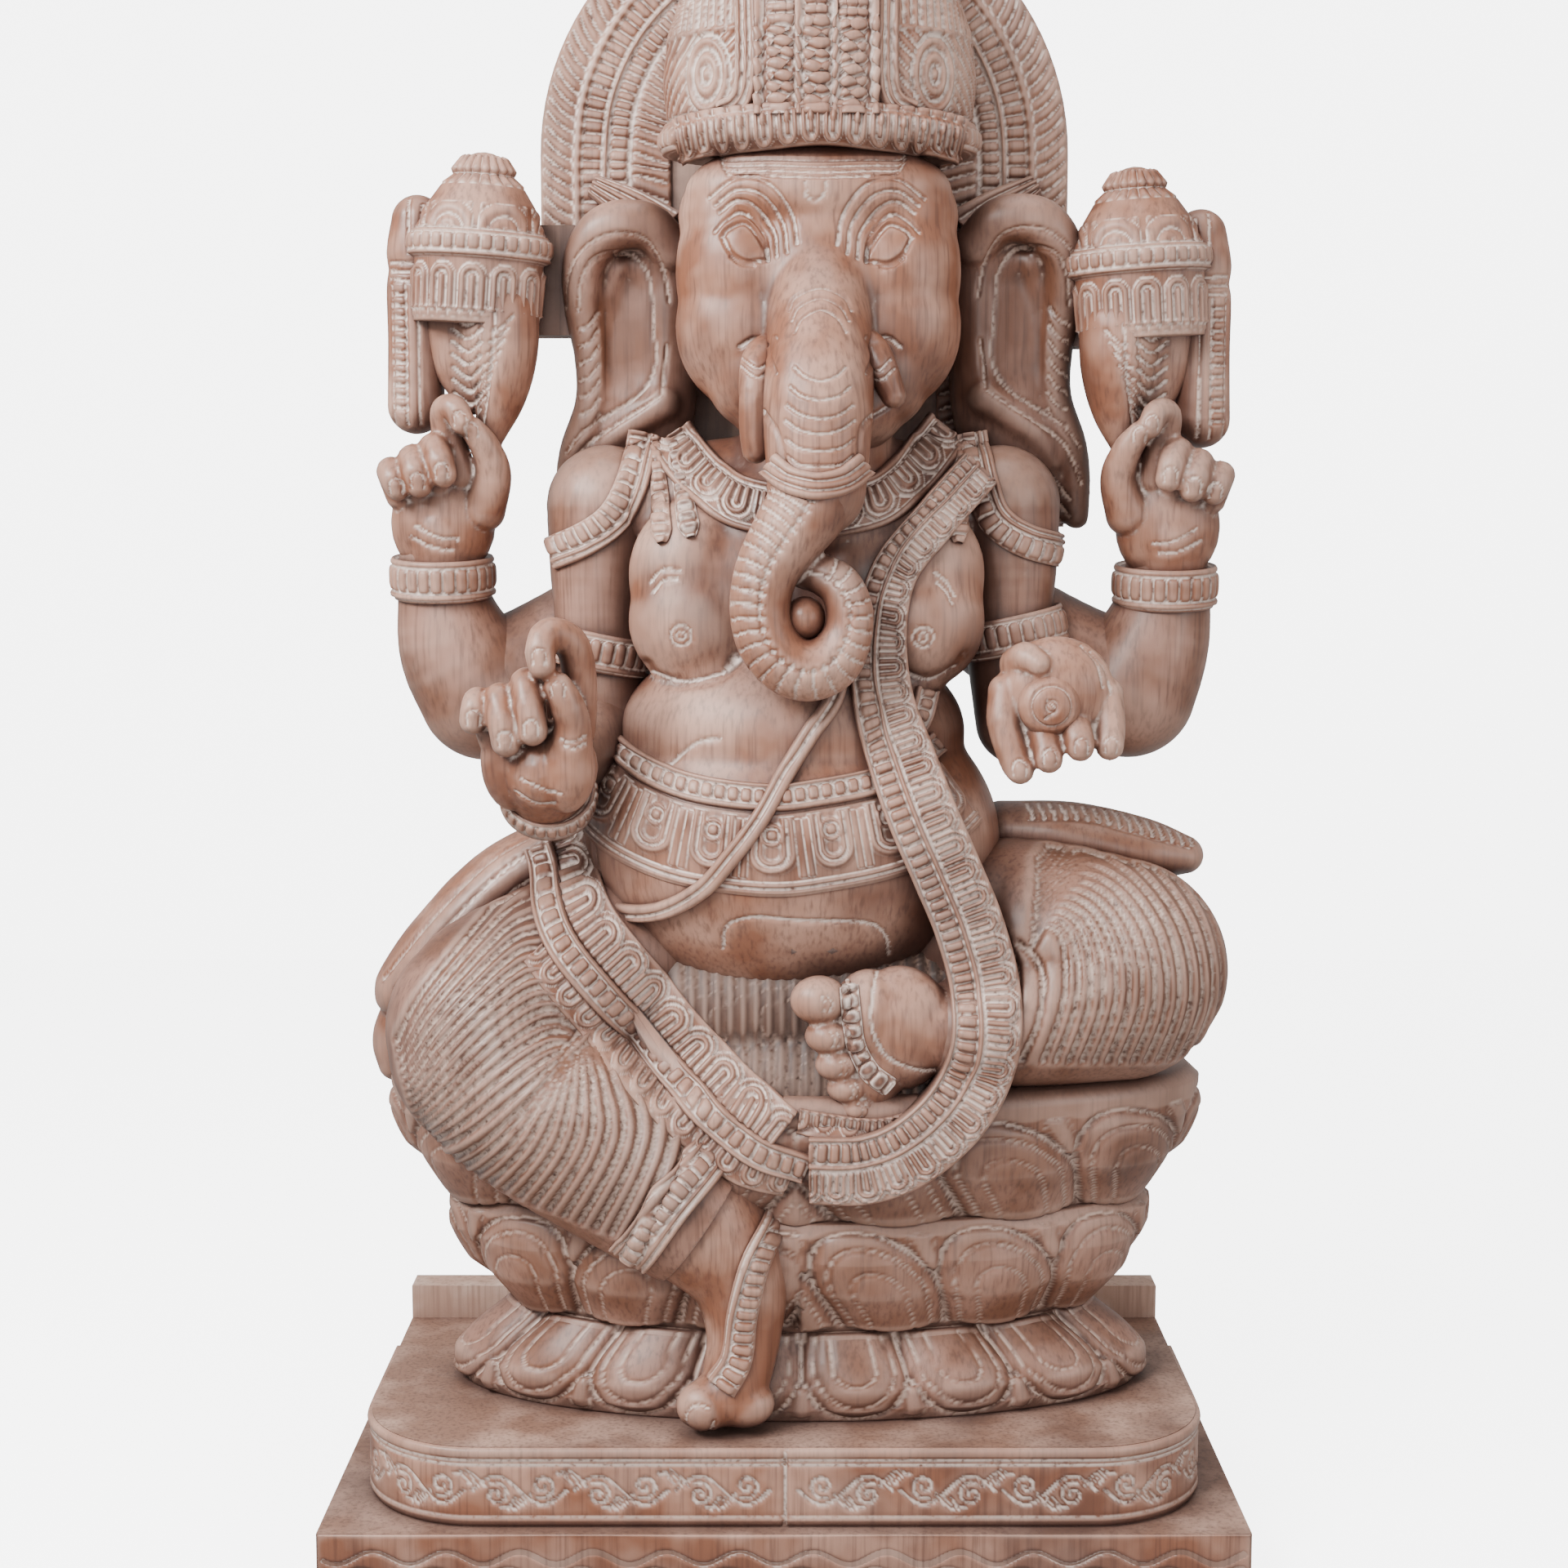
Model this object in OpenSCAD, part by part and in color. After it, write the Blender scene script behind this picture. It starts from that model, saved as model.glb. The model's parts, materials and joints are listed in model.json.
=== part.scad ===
// Seated four-armed Ganesha idol, glued up from carved hardwood blocks on a stepped base.
// Millimetres. +Z is up, the idol faces -Y, and the origin is at the middle of the base's underside.
// "right" and "left" are the figure's own sides, so its right hand is at -X.

/* [Base] */
// Width of the base board, side to side
base_w = 640; // [630:5:680]
// Depth of the base board, front to back
base_d = 320; // [316:2:340]
// Thickness of the base board
base_t = 40; // [34:1:50]
// Height of the plinth block above the board
plinth_t = 57; // [50:1:66]
// Radius of the plinth's two front corners
plinth_corner_r = 85; // [60:5:100]
// Height of the rail along the plinth's back edge
rail_t = 26; // [18:1:34]

/* [Lotus] */
// Height of the foot tier, whose petals turn down
lotus_foot_h = 61; // [56:1:66]
// Height of the first cup tier, whose petals turn up
lotus_cup_h = 82; // [76:1:88]
// Height of the top cup tier, which carries the figure
lotus_seat_h = 92; // [86:1:98]

/* [Halo] */
// Radius of the arched top of the halo board
halo_r = 195; // [185:1:200]
// Thickness of the halo board
halo_t = 44; // [36:1:44]

/* [Joinery] */
// Radius of the hardwood dowels in the base and seat
dowel_r = 8; // [6:0.5:10]
// Radius of the dowels in the arms, legs and head
limb_dowel_r = 5; // [4:0.5:6]
// Glue room around each dowel
glue_gap = 0.3; // [0.1:0.1:0.5]

/* [Hidden] */
plinth_w = base_w - 50;
plinth_front = -base_d / 2 + 12;
plinth_back = base_d / 2 - 8;
plinth_z = base_t;
lotus_z = plinth_z + plinth_t;
cup_z = lotus_z + lotus_foot_h;
seat_cup_z = cup_z + lotus_cup_h;
seat_z = seat_cup_z + lotus_seat_h;
neck_z = 430;          // glue plane under the head, above the seat
trunk_joint_z = 412;   // glue plane inside the trunk ring
halo_z = 663;          // centre of the halo's arch, above the seat
halo_y = 86;           // front face of the halo board
lap_z = -235;          // plinth top, below the seat
body_fn = 22;          // facets of the large rounded forms
limb_fn = 14;          // facets of the limbs
digit_fn = 8;          // facets of fingers and toes

// Where each dowel's middle is, and for the limbs which way it runs. Heights are above the seat.
base_screw_spots = [for (x = [-220, 220], y = [-80, 80]) [x, y]];
plinth_dowel_spots = [for (x = [-130, 150], y = [-45, 55]) [x, y]];
seat_dowel_spots = [[-60, 30], [75, 30]];
neck_dowel_spots = [[0, 12], [46, 12]];
halo_screw_spots = [[-10, 560], [60, 560], [-45, 405], [75, 405]];
arm_dowel_spots = [
    [[-121, 18, 402], [1, 0, 0]], [[153, 18, 402], [1, 0, 0]],              // front shoulders
    [[-143, -23, 235], [-20, -50, -28]], [[180, -27, 262], [10, -40, 16]],  // front elbows
    [[-160, -70, 219], [-16, -36, -22]], [[186, -64, 280], [4, -38, 18]],   // front wrists
    [[-96, 48, 326], [-5, 0, -1]], [[126, 48, 326], [5, 0, -1]],            // rear shoulders
    [[-239, 24, 308], [-18, -6, 44]], [[268, 24, 306], [14, -6, 46]],       // rear elbows
    [[-249, 18, 362], [0, 0, 1]], [[277, 18, 358], [0, 0, 1]]];             // rear wrists
leg_dowel_spots = [
    [[-116, -13, 90], [-128, -62, -64]], [[125, -12, 96], [130, -40, -22]], // hips
    [[-72, -88, -86], [52, -12, -34]], [[88, -98, 44], [-1, 0, 0]]];        // ankles

// ---- Building blocks ------------------------------------------------------------------

module ball(p, r, fn = limb_fn) translate(p) sphere(r, $fn = fn);

// A rounded form with its own radius along each axis, as one closed mesh.
module ovoid(p, r, fn = body_fn) hull() translate(p) scale(r) sphere(1, $fn = fn);

// A tapering limb with round ends.
module limb(a, ra, b, rb, fn = limb_fn) hull() {
    ball(a, ra, fn);
    ball(b, rb, fn);
}

// Limbs joined end to end; each station is [point, radius].
module chain(stations, fn = limb_fn)
    for (i = [0 : len(stations) - 2])
        limb(stations[i][0], stations[i][1], stations[i + 1][0], stations[i + 1][1], fn);

module dowel(spot, turn, r, length) translate(spot) rotate(turn)
    cylinder(r = r, h = length, center = true, $fn = 24);

module at_seat() translate([0, 0, seat_z]) children();

// Takes the dowel holes out of a carved block that stands in the seat's frame.
module drilled() difference() {
    children();
    limb_dowels(arm_dowel_spots, glue_gap);
    limb_dowels(leg_dowel_spots, glue_gap);
    neck_pegs(glue_gap);
    seat_pegs(glue_gap);
    halo_fixings(glue_gap);
    crown_peg(glue_gap);
}

// The angles that tip +Z onto a direction.
function tip(d) = [0, acos(d[2] / norm(d)), atan2(d[1], d[0])];

module limb_dowels(spots, gap = 0)
    for (s = spots) dowel(s[0], tip(s[1]), limb_dowel_r + gap, 36 + 2 * gap);

module neck_pegs(gap = 0)
    for (s = neck_dowel_spots) dowel([s[0], s[1], neck_z], [0, 0, 0], limb_dowel_r + gap, 60 + 2 * gap);

module seat_pegs(gap = 0)
    for (s = seat_dowel_spots) dowel([s[0], s[1], 0], [0, 0, 0], dowel_r + gap, 80 + 2 * gap);

module halo_fixings(gap = 0)
    for (s = halo_screw_spots)
        translate([s[0], halo_y + halo_t, s[1]]) rotate([90, 0, 0]) {
            cylinder(r = 8 + gap, h = 6 + gap, $fn = 24);
            cylinder(r = 3.5 + gap, h = 85 + gap, $fn = 24);
        }

module crown_peg(gap = 0) {
    dowel([25, 0, 640], [0, 0, 0], dowel_r + gap, 70 + 2 * gap);
    dowel([25, -2, 800], [0, 0, 0], limb_dowel_r + gap, 44 + 2 * gap);
}

// ---- Base and lotus -------------------------------------------------------------------

module screw(gap = 0) {
    cylinder(r = 12 + gap, h = 8 + gap, $fn = 30);
    cylinder(r = 5 + gap, h = 78 + gap, $fn = 24);
}

module base_screws(gap = 0) color("dimgray")
    for (s = base_screw_spots) translate([s[0], s[1], 4]) screw(gap);

module base_board() color("burlywood") difference() {
    translate([-base_w / 2, -base_d / 2, 0]) cube([base_w, base_d, base_t]);
    base_screws(glue_gap);
    for (s = base_screw_spots) translate([s[0], s[1], -1]) cylinder(r = 12 + glue_gap, h = 6, $fn = 30);
}

module plinth_outline() {
    half = plinth_w / 2;
    translate([-half, plinth_front + plinth_corner_r])
        square([plinth_w, plinth_back - plinth_front - plinth_corner_r]);
    translate([-half + plinth_corner_r, plinth_front])
        square([plinth_w - 2 * plinth_corner_r, plinth_corner_r + 1]);
    for (side = [-1, 1])
        translate([side * (half - plinth_corner_r), plinth_front + plinth_corner_r])
            circle(plinth_corner_r, $fn = 96);
}

module plinth_block() color("rosybrown") difference() {
    translate([0, 0, plinth_z]) linear_extrude(plinth_t) plinth_outline();
    base_screws(glue_gap);
    plinth_dowels(glue_gap);
}

module plinth_rail() color("sienna")
    translate([-plinth_w / 2, plinth_back - 28, lotus_z]) cube([plinth_w, 28, rail_t]);

// One elliptical ring of the lotus, thin enough to hull with the next.
module lotus_ring(z, half_w, half_d, x = 12) translate([x, 6, z]) scale([half_w, half_d, 1])
    cylinder(r = 1, h = 0.1, $fn = 48);

module lotus_foot_form() {
    hull() {
        lotus_ring(lotus_z, 250, 108);
        lotus_ring(lotus_z + 22, 254, 110);
    }
    hull() {
        lotus_ring(lotus_z + 22, 254, 110);
        lotus_ring(cup_z - 0.1, 214, 88);
    }
}

module lotus_cup_form() hull() {
    lotus_ring(cup_z, 212, 88);
    lotus_ring(cup_z + 52, 252, 112);
    lotus_ring(seat_cup_z - 0.1, 256, 114);
}

module lotus_seat_form() hull() {
    lotus_ring(seat_cup_z, 248, 108, 10);
    lotus_ring(seat_cup_z + 56, 292, 124, 8);
    lotus_ring(seat_z - 0.1, 294, 126, 8);
}

module plinth_dowels(gap = 0) color("burlywood")
    for (s = plinth_dowel_spots) dowel([s[0], s[1], lotus_z], [0, 0, 0], dowel_r + gap, 64 + 2 * gap);

module lotus_dowels(gap = 0) color("burlywood")
    for (s = plinth_dowel_spots, z = [cup_z, seat_cup_z])
        dowel([s[0] + 14, s[1], z], [0, 0, 0], dowel_r + gap, 40 + 2 * gap);

module lotus_foot() color("rosybrown") difference() {
    lotus_foot_form();
    plinth_dowels(glue_gap);
    lotus_dowels(glue_gap);
}

module lotus_cup() color("rosybrown") difference() {
    lotus_cup_form();
    lotus_dowels(glue_gap);
}

module lotus_seat() color("rosybrown") difference() {
    lotus_seat_form();
    lotus_dowels(glue_gap);
    at_seat() seat_pegs(glue_gap);
}

// ---- Torso ----------------------------------------------------------------------------

module torso_form() {
    ovoid([5, -10, 165], [151, 112, 120], 28);        // belly
    ovoid([5, 28, 50], [158, 92, 80]);                // hips
    ovoid([16, 12, 345], [126, 72, 98]);              // rib cage
    ovoid([-60, -34, 336], [47, 43, 54], 22);         // right breast
    ovoid([91, -34, 332], [47, 43, 54], 22);          // left breast
    limb([-80, 20, 398], 42, [112, 20, 398], 42, 20); // shoulder yoke
    limb([22, 6, 400], 56, [24, 4, 440], 54, 20);     // neck
    translate([-70, 20, 384]) cube([190, halo_y - 20, 46]); // pad behind the shoulders, for the halo board
}

module block_above_seat(top) translate([-320, -160, 0]) cube([640, 320, top]);

module torso_body() intersection() {
    torso_form();
    block_above_seat(neck_z);
}

module plug_block() translate([22 - 17, -130, 94]) cube([34, 34, 28]);

module torso() color("rosybrown") at_seat() drilled() difference() {
    torso_body();
    plug_block();
}

module navel_plug() color("saddlebrown") at_seat() intersection() {
    torso_form();
    plug_block();
}

// ---- Head -----------------------------------------------------------------------------

module head_form() {
    ovoid([24, -2, 568], [98, 78, 88]);               // cranium
    ovoid([24, -20, 512], [97, 64, 72]);              // cheeks
    ovoid([24, -20, 470], [70, 66, 56], 22);          // jaw
    translate([-36, 10, neck_z]) cube([120, halo_y - 10, 190]); // pad behind the head, for the halo board
    chain([[[24, -62, 548], 32], [[24, -82, 500], 35], [[23, -94, 456], 34], [[22, -100, 400], 28]], 16);
}

module head_body() difference() {
    head_form();
    translate([-320, -75, neck_z - 200]) cube([640, 320, 200]);
    translate([-320, -160, trunk_joint_z - 200]) cube([640, 320, 200]);
    halo_gap();
    translate([-320, -160, 640]) cube([640, 320, 100]);
}

module head() color("rosybrown") at_seat() drilled() difference() {
    head_body();
    torso_body();
    tusks();
}

module trunk_curl_form() intersection() {
    chain([[[22, -100, 418], 27], [[8, -110, 392], 24], [[-12, -114, 364], 19], [[-16, -114, 334], 18],
           [[-8, -114, 309], 18], [[13, -114, 297], 19], [[33, -114, 305], 18], [[43, -114, 327], 15],
           [[42, -114, 347], 13], [[36, -114, 360], 13]], 14);
    translate([-320, -160, 0]) cube([640, 320, trunk_joint_z]);
}

module trunk_curl() color("rosybrown") at_seat() difference() {
    trunk_curl_form();
    torso_body();
}

module trunk_sweet() color("peru") at_seat() difference() {
    ball([14, -108, 331], 14, 20);
    trunk_curl_form();
    torso_body();
}

module right_tusk_form() chain([[[-16, -66, 500], 7], [[-20, -86, 480], 9], [[-18, -98, 440], 11]], 14);
module left_tusk_form() chain([[[56, -66, 508], 7], [[62, -84, 492], 9], [[71, -94, 468], 8]], 14);

module tusks() {
    right_tusk_form();
    left_tusk_form();
}

module right_tusk() color("burlywood") at_seat() right_tusk_form();
module left_tusk() color("burlywood") at_seat() left_tusk_form();

// Each ear is a broad flap that narrows down to the shoulder.
module right_ear_form() {
    ovoid([-116, 44, 562], [50, 22, 56], 22);
    ovoid([-122, 44, 480], [46, 20, 66], 22);
    limb([-128, 44, 440], 18, [-156, 44, 402], 16);
}

module left_ear_form() {
    ovoid([172, 44, 570], [52, 22, 58], 22);
    ovoid([172, 44, 485], [48, 20, 66], 22);
    limb([182, 44, 440], 18, [192, 44, 400], 17);
}

module right_ear() color("rosybrown") at_seat() difference() {
    right_ear_form();
    head_body();
    torso_body();
    right_front_upper_arm_form();
}

module left_ear() color("rosybrown") at_seat() difference() {
    left_ear_form();
    head_body();
    torso_body();
    left_front_upper_arm_form();
}

// ---- Crown and halo -------------------------------------------------------------------

crown_profile = [[0, 0], [106, 0], [112, 8], [112, 26], [105, 32], [108, 60], [104, 92], [92, 126],
                 [76, 152], [60, 166], [0, 166]];
finial_profile = [[0, 0], [52, 0], [46, 8], [30, 14], [24, 22], [30, 32], [26, 46], [10, 60], [0, 62]];

module crown() color("rosybrown") at_seat() difference() {
    turned_block([25, -2, 640], crown_profile, 0.72);
    crown_peg(glue_gap);
}

module crown_finial() color("rosybrown") at_seat() difference() {
    turned_block([25, -2, 806], finial_profile, 0.72);
    crown_peg(glue_gap);
}

// A turned profile squeezed front to back, as one mesh.
module turned_block(p, profile, squeeze) translate(p)
    for (i = [1 : len(profile) - 2])
        hull() {
            turned_slice(profile[i], squeeze);
            turned_slice(profile[i + 1], squeeze);
        }

module turned_slice(rz, squeeze) translate([0, 0, rz[1]]) scale([1, squeeze, 1])
    cylinder(r = max(rz[0], 0.5), h = 0.1, $fn = 30);

module halo_outline() {
    translate([15, halo_z]) circle(halo_r, $fn = 128);
    translate([-165, 396]) square([378, halo_z - 396]);
}

module halo_board() color("rosybrown") at_seat() difference() {
    translate([0, halo_y + halo_t, 0]) rotate([90, 0, 0]) linear_extrude(halo_t) halo_outline();
    halo_fixings(glue_gap);
}

// Lugs left between each ear and the emblem beside it.
module right_bridge_form() translate([-196, 26, 528]) cube([46, 36, 78]);
module left_bridge_form() translate([206, 26, 520]) cube([26, 36, 82]);

module right_bridge() color("sienna") at_seat() difference() {
    right_bridge_form();
    right_ear_form();
    right_goad_form();
    halo_gap();
}

module left_bridge() color("sienna") at_seat() difference() {
    left_bridge_form();
    left_ear_form();
    left_noose_form();
    halo_gap();
}

module halo_gap() translate([-320, halo_y, 0]) cube([640, 80, 900]);

// ---- Emblems held in the rear hands ---------------------------------------------------

emblem_profile = [[0, 0], [44, 0], [46, 44], [48, 50], [48, 62], [44, 66], [32, 92], [22, 102], [24, 106],
                  [10, 118], [0, 120]];

module right_goad_form() {
    turned_block([-220, 10, 534], emblem_profile, 0.75);
    chain([[[-200, 8, 535], 24], [[-196, 6, 508], 20], [[-206, 4, 480], 15], [[-214, 0, 452], 11]]);
}

module left_noose_form() {
    turned_block([256, 10, 524], emblem_profile, 0.75);
    chain([[[236, 8, 528], 22], [[236, 6, 500], 20], [[244, 4, 476], 17], [[250, 0, 450], 12]]);
}

module tassel_form(x, z, h) {
    limb([x, 14, z + h - 14], 14, [x, 14, z + h - 4], 17);
    limb([x, 14, z + h - 34], 19, [x, 14, z + h - 40], 19);
    limb([x, 14, z + 14], 15, [x, 14, z + h - 30], 14);
}

module right_goad() color("rosybrown") at_seat() difference() {
    right_goad_form();
    right_rear_hand_form();
}

module left_noose() color("rosybrown") at_seat() difference() {
    left_noose_form();
    left_rear_hand_form();
}

module right_goad_tassel() color("rosybrown") at_seat() difference() {
    tassel_form(-266, 466, 140);
    right_goad_form();
    right_rear_hand_form();
}

module left_noose_tassel() color("rosybrown") at_seat() difference() {
    tassel_form(294, 466, 132);
    left_noose_form();
    left_rear_hand_form();
}

// ---- Rear arms ------------------------------------------------------------------------

module right_rear_upper_arm_form() limb([-135, 50, 318], 46, [-222, 30, 266], 46);
module left_rear_upper_arm_form() limb([168, 50, 318], 46, [254, 30, 262], 47);
module right_rear_forearm_form() chain([[[-222, 30, 266], 40], [[-240, 24, 310], 38], [[-249, 18, 352], 30]]);
module left_rear_forearm_form() chain([[[254, 30, 262], 41], [[268, 24, 308], 38], [[277, 18, 350], 30]]);

// A fist that holds a stem; side is -1 for the right hand and 1 for the left.
module rear_hand_form(p, side) translate(p) scale([side, 1, 1]) {
    ovoid([0, 2, 12], [35, 25, 40], 18);
    limb([0, 6, -18], 27, [0, 6, -30], 29, 14);
    chain([[[28, -4, 20], 12], [[30, -14, 40], 11], [[24, -20, 28], 10]], digit_fn);   // little finger
    chain([[[13, -4, 24], 12], [[14, -16, 46], 11], [[9, -24, 32], 10]], digit_fn);    // ring finger
    chain([[[-2, -4, 28], 12], [[-2, -16, 58], 11], [[-3, -24, 44], 10]], digit_fn);   // middle finger
    chain([[[-14, -2, 40], 12], [[-14, -10, 72], 11], [[-13, -20, 62], 9]], digit_fn); // index finger
    chain([[[-26, -4, 12], 14], [[-31, -10, 46], 11], [[-24, -18, 58], 9]], digit_fn); // thumb
}

module right_rear_hand_form() rear_hand_form([-250, 10, 392], -1);
module left_rear_hand_form() rear_hand_form([277, 10, 390], 1);

module right_rear_upper_arm() color("rosybrown") at_seat() drilled() difference() {
    right_rear_upper_arm_form();
    torso_body();
    right_front_upper_arm_form();
    halo_gap();
}

module left_rear_upper_arm() color("rosybrown") at_seat() drilled() difference() {
    left_rear_upper_arm_form();
    torso_body();
    left_front_upper_arm_form();
    halo_gap();
}

module right_rear_forearm() color("rosybrown") at_seat() drilled() difference() {
    right_rear_forearm_form();
    right_rear_upper_arm_form();
    translate([-320, -160, 362]) cube([640, 320, 100]);
}

module left_rear_forearm() color("rosybrown") at_seat() drilled() difference() {
    left_rear_forearm_form();
    left_rear_upper_arm_form();
    translate([-320, -160, 358]) cube([640, 320, 100]);
}

module right_rear_hand() color("rosybrown") at_seat() drilled() difference() {
    right_rear_hand_form();
    translate([-320, -160, 262]) cube([640, 320, 100]);
}

module left_rear_hand() color("rosybrown") at_seat() drilled() difference() {
    left_rear_hand_form();
    translate([-320, -160, 258]) cube([640, 320, 100]);
}

// ---- Front arms -----------------------------------------------------------------------

module right_front_upper_arm_form()
    chain([[[-128, 18, 404], 44], [[-131, 12, 340], 32], [[-132, 4, 250], 33]]);
module left_front_upper_arm_form()
    chain([[[160, 18, 404], 44], [[162, 12, 340], 33], [[172, 4, 250], 34]]);
module right_front_forearm_form() chain([[[-132, 4, 250], 30], [[-152, -46, 222], 26], [[-168, -82, 200], 21]]);
module left_front_forearm_form() chain([[[172, 4, 250], 31], [[182, -36, 266], 28], [[186, -74, 284], 25]]);

// Open palm with the finger tips curled towards the thumb.
module right_front_hand_form() {
    ovoid([-166, -102, 226], [36, 20, 36], 18);
    limb([-168, -88, 208], 22, [-166, -98, 232], 24, 14);
    chain([[[-192, -104, 244], 11], [[-206, -116, 278], 10], [[-209, -124, 262], 9]], digit_fn); // little finger
    chain([[[-184, -104, 248], 11], [[-193, -120, 286], 10], [[-188, -130, 248], 9]], digit_fn); // ring finger
    chain([[[-172, -104, 252], 12], [[-176, -120, 294], 10], [[-171, -131, 256], 9]], digit_fn); // middle finger
    chain([[[-160, -102, 256], 12], [[-164, -112, 318], 10], [[-159, -124, 294], 9]], digit_fn); // index finger
    chain([[[-148, -104, 218], 14], [[-146, -118, 256], 11], [[-154, -124, 284], 9]], digit_fn); // thumb
}

// Cupped palm, tilted to the front, with the finger tips hanging.
module left_front_hand_form() {
    ovoid([187, -90, 284], [40, 26, 38], 20);
    chain([[[160, -98, 276], 12], [[156, -108, 250], 10], [[160, -114, 236], 10]], digit_fn);
    chain([[[176, -100, 266], 12], [[180, -114, 250], 10], [[182, -118, 245], 10]], digit_fn);
    chain([[[196, -100, 268], 12], [[199, -114, 254], 10], [[200, -118, 247], 10]], digit_fn);
    chain([[[214, -96, 284], 12], [[218, -106, 256], 10], [[218, -112, 238], 10]], digit_fn);
}

module modak_form() hull() {
    ovoid([179, -114, 272], [22, 15, 23], 20);
    ball([179, -116, 291], 6, 12);
}

module right_front_upper_arm() color("rosybrown") at_seat() drilled() difference() {
    right_front_upper_arm_form();
    torso_body();
}

module left_front_upper_arm() color("rosybrown") at_seat() drilled() difference() {
    left_front_upper_arm_form();
    torso_body();
}

module right_front_forearm() color("rosybrown") at_seat() drilled() difference() {
    right_front_forearm_form();
    right_front_upper_arm_form();
    right_front_hand_form();
    torso_body();
}

module left_front_forearm() color("rosybrown") at_seat() drilled() difference() {
    left_front_forearm_form();
    left_front_upper_arm_form();
    left_front_hand_form();
    torso_body();
}

module right_front_hand() color("rosybrown") at_seat() drilled() difference() {
    right_front_hand_form();
    torso_body();
}

module left_front_hand() color("rosybrown") at_seat() drilled() difference() {
    left_front_hand_form();
    modak_form();
    torso_body();
}

module modak() color("peru") at_seat() modak_form();

// ---- Legs and cloth -------------------------------------------------------------------

module right_leg_form() difference() {
    union() {
        limb([-80, 4, 108], 68, [-208, -58, 44], 72, 20);                 // thigh
        limb([-208, -58, 44], 72, [-124, -74, -30], 68, 20);              // calf
        limb([-124, -74, -30], 68, [-66, -90, -84], 52, 20);              // hem
    }
    translate([-60, -92, -92]) rotate([0, 35, 0]) translate([0, -100, -100]) cube([100, 200, 200]);
}

module left_leg_form() {
    limb([100, -4, 100], 66, [230, -44, 78], 82, 20);                     // thigh
    limb([230, -44, 78], 82, [160, -74, 44], 50, 20);                     // shin, folded back
    limb([160, -74, 44], 50, [124, -88, 42], 36, 18);
}

module above_seat_only() translate([-320, -160, 0]) cube([640, 320, 300]);

module left_leg_body() intersection() {
    left_leg_form();
    above_seat_only();
}

// The foot hangs with its heel to the left side and its great toe on the plinth.
module right_foot_form() {
    chain([[[-74, -86, -86], 36], [[-24, -94, -108], 32], [[-30, -106, -172], 24], [[-36, -114, -208], 22]], 18);
    hull() {
        ball([-36, -114, -208], 22, 14);
        ball([-55, -128, -218], 15, 14);
        ball([-30, -122, -219], 14, 14);
    }
}

module left_foot_form() {
    ovoid([82, -106, 46], [40, 22, 42], 18);
    limb([46, -112, 66], 17, [25, -120, 72], 15, 14);                     // great toe
    for (toe = [0 : 3])
        limb([54 + 4 * toe, -112, 42 - 12 * toe], 11 - toe, [30 + 5 * toe, -120, 46 - 15 * toe], 10 - toe, digit_fn);
}

module lotus_body() translate([0, 0, -seat_z]) {
    lotus_foot_form();
    lotus_cup_form();
    lotus_seat_form();
}

module above_plinth_only() translate([-320, -160, lap_z]) cube([640, 320, 700]);

module right_leg() color("rosybrown") at_seat() drilled() difference() {
    right_leg_form();
    torso_body();
    lotus_body();
}

module right_foot() color("rosybrown") at_seat() drilled() intersection() {
    difference() {
        right_foot_form();
        right_leg_form();
        lotus_body();
    }
    above_plinth_only();
}

module left_leg() color("rosybrown") at_seat() drilled() difference() {
    left_leg_body();
    torso_body();
}

module left_foot() color("rosybrown") at_seat() drilled() difference() {
    left_foot_form();
    left_leg_body();
    torso_body();
    lotus_body();
}

// Pleated cloth that hangs over the front of the seat, between the legs.
module lap_cloth_form() hull() {
    translate([-30, -136, -58]) cube([140, 36, 10]);
    translate([-50, -130, 0]) cube([176, 40, 10]);
    translate([-50, -96, 70]) cube([150, 40, 10]);
}

module lap_cloth() color("rosybrown") at_seat() difference() {
    lap_cloth_form();
    torso_body();
    right_leg_form();
    left_leg_body();
    left_foot_form();
    lotus_body();
}

module right_hip_cloth() color("rosybrown") at_seat() difference() {
    hull() {
        ball([-150, 24, 158], 22);
        ball([-276, 4, 64], 20);
        ball([-274, 6, 48], 20);
        ball([-170, 30, 60], 24);
    }
    torso_body();
    right_leg_form();
    lotus_body();
    limb([-222, 30, 266], 46, [-135, 50, 318], 46);
}

module left_hip_cloth() color("rosybrown") at_seat() difference() {
    hull() {
        ball([160, 20, 170], 22);
        ball([286, 6, 160], 16);
        ball([278, 8, 140], 16);
        ball([180, 30, 90], 24);
    }
    torso_body();
    left_leg_body();
    left_rear_upper_arm_form();
}

// Thick garland from the left shoulder, over the belly and round under the lap.
garland_route = [
    [136, -40, 430], [106, -68, 398], [76, -80, 361], [66, -86, 317], [68, -98, 273], [80, -112, 235],
    [94, -120, 197], [111, -124, 158], [127, -124, 119], [138, -128, 75], [136, -132, 31],
    [119, -136, -5], [89, -138, -33], [56, -138, -47], [18, -136, -48]];

module garland_form() for (i = [0 : len(garland_route) - 2])
    hull() {
        ball(garland_route[i], 15, digit_fn);
        ball(garland_route[i + 1], 15, digit_fn);
    }

module garland() color("rosybrown") at_seat() difference() {
    garland_form();
    torso_body();
    right_leg_form();
    left_leg_body();
    left_foot_form();
    lap_cloth_form();
    lotus_body();
    trunk_curl_form();
    left_front_upper_arm_form();
}

// ---- Dowels and screws ----------------------------------------------------------------

module seat_dowels() color("burlywood") at_seat() seat_pegs();
module neck_dowels() color("burlywood") at_seat() neck_pegs();
module crown_dowels() color("burlywood") at_seat() crown_peg();
module halo_screws() color("dimgray") at_seat() halo_fixings();
module arm_dowels() color("burlywood") at_seat() limb_dowels(arm_dowel_spots);
module leg_dowels() color("burlywood") at_seat() limb_dowels(leg_dowel_spots);

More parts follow.
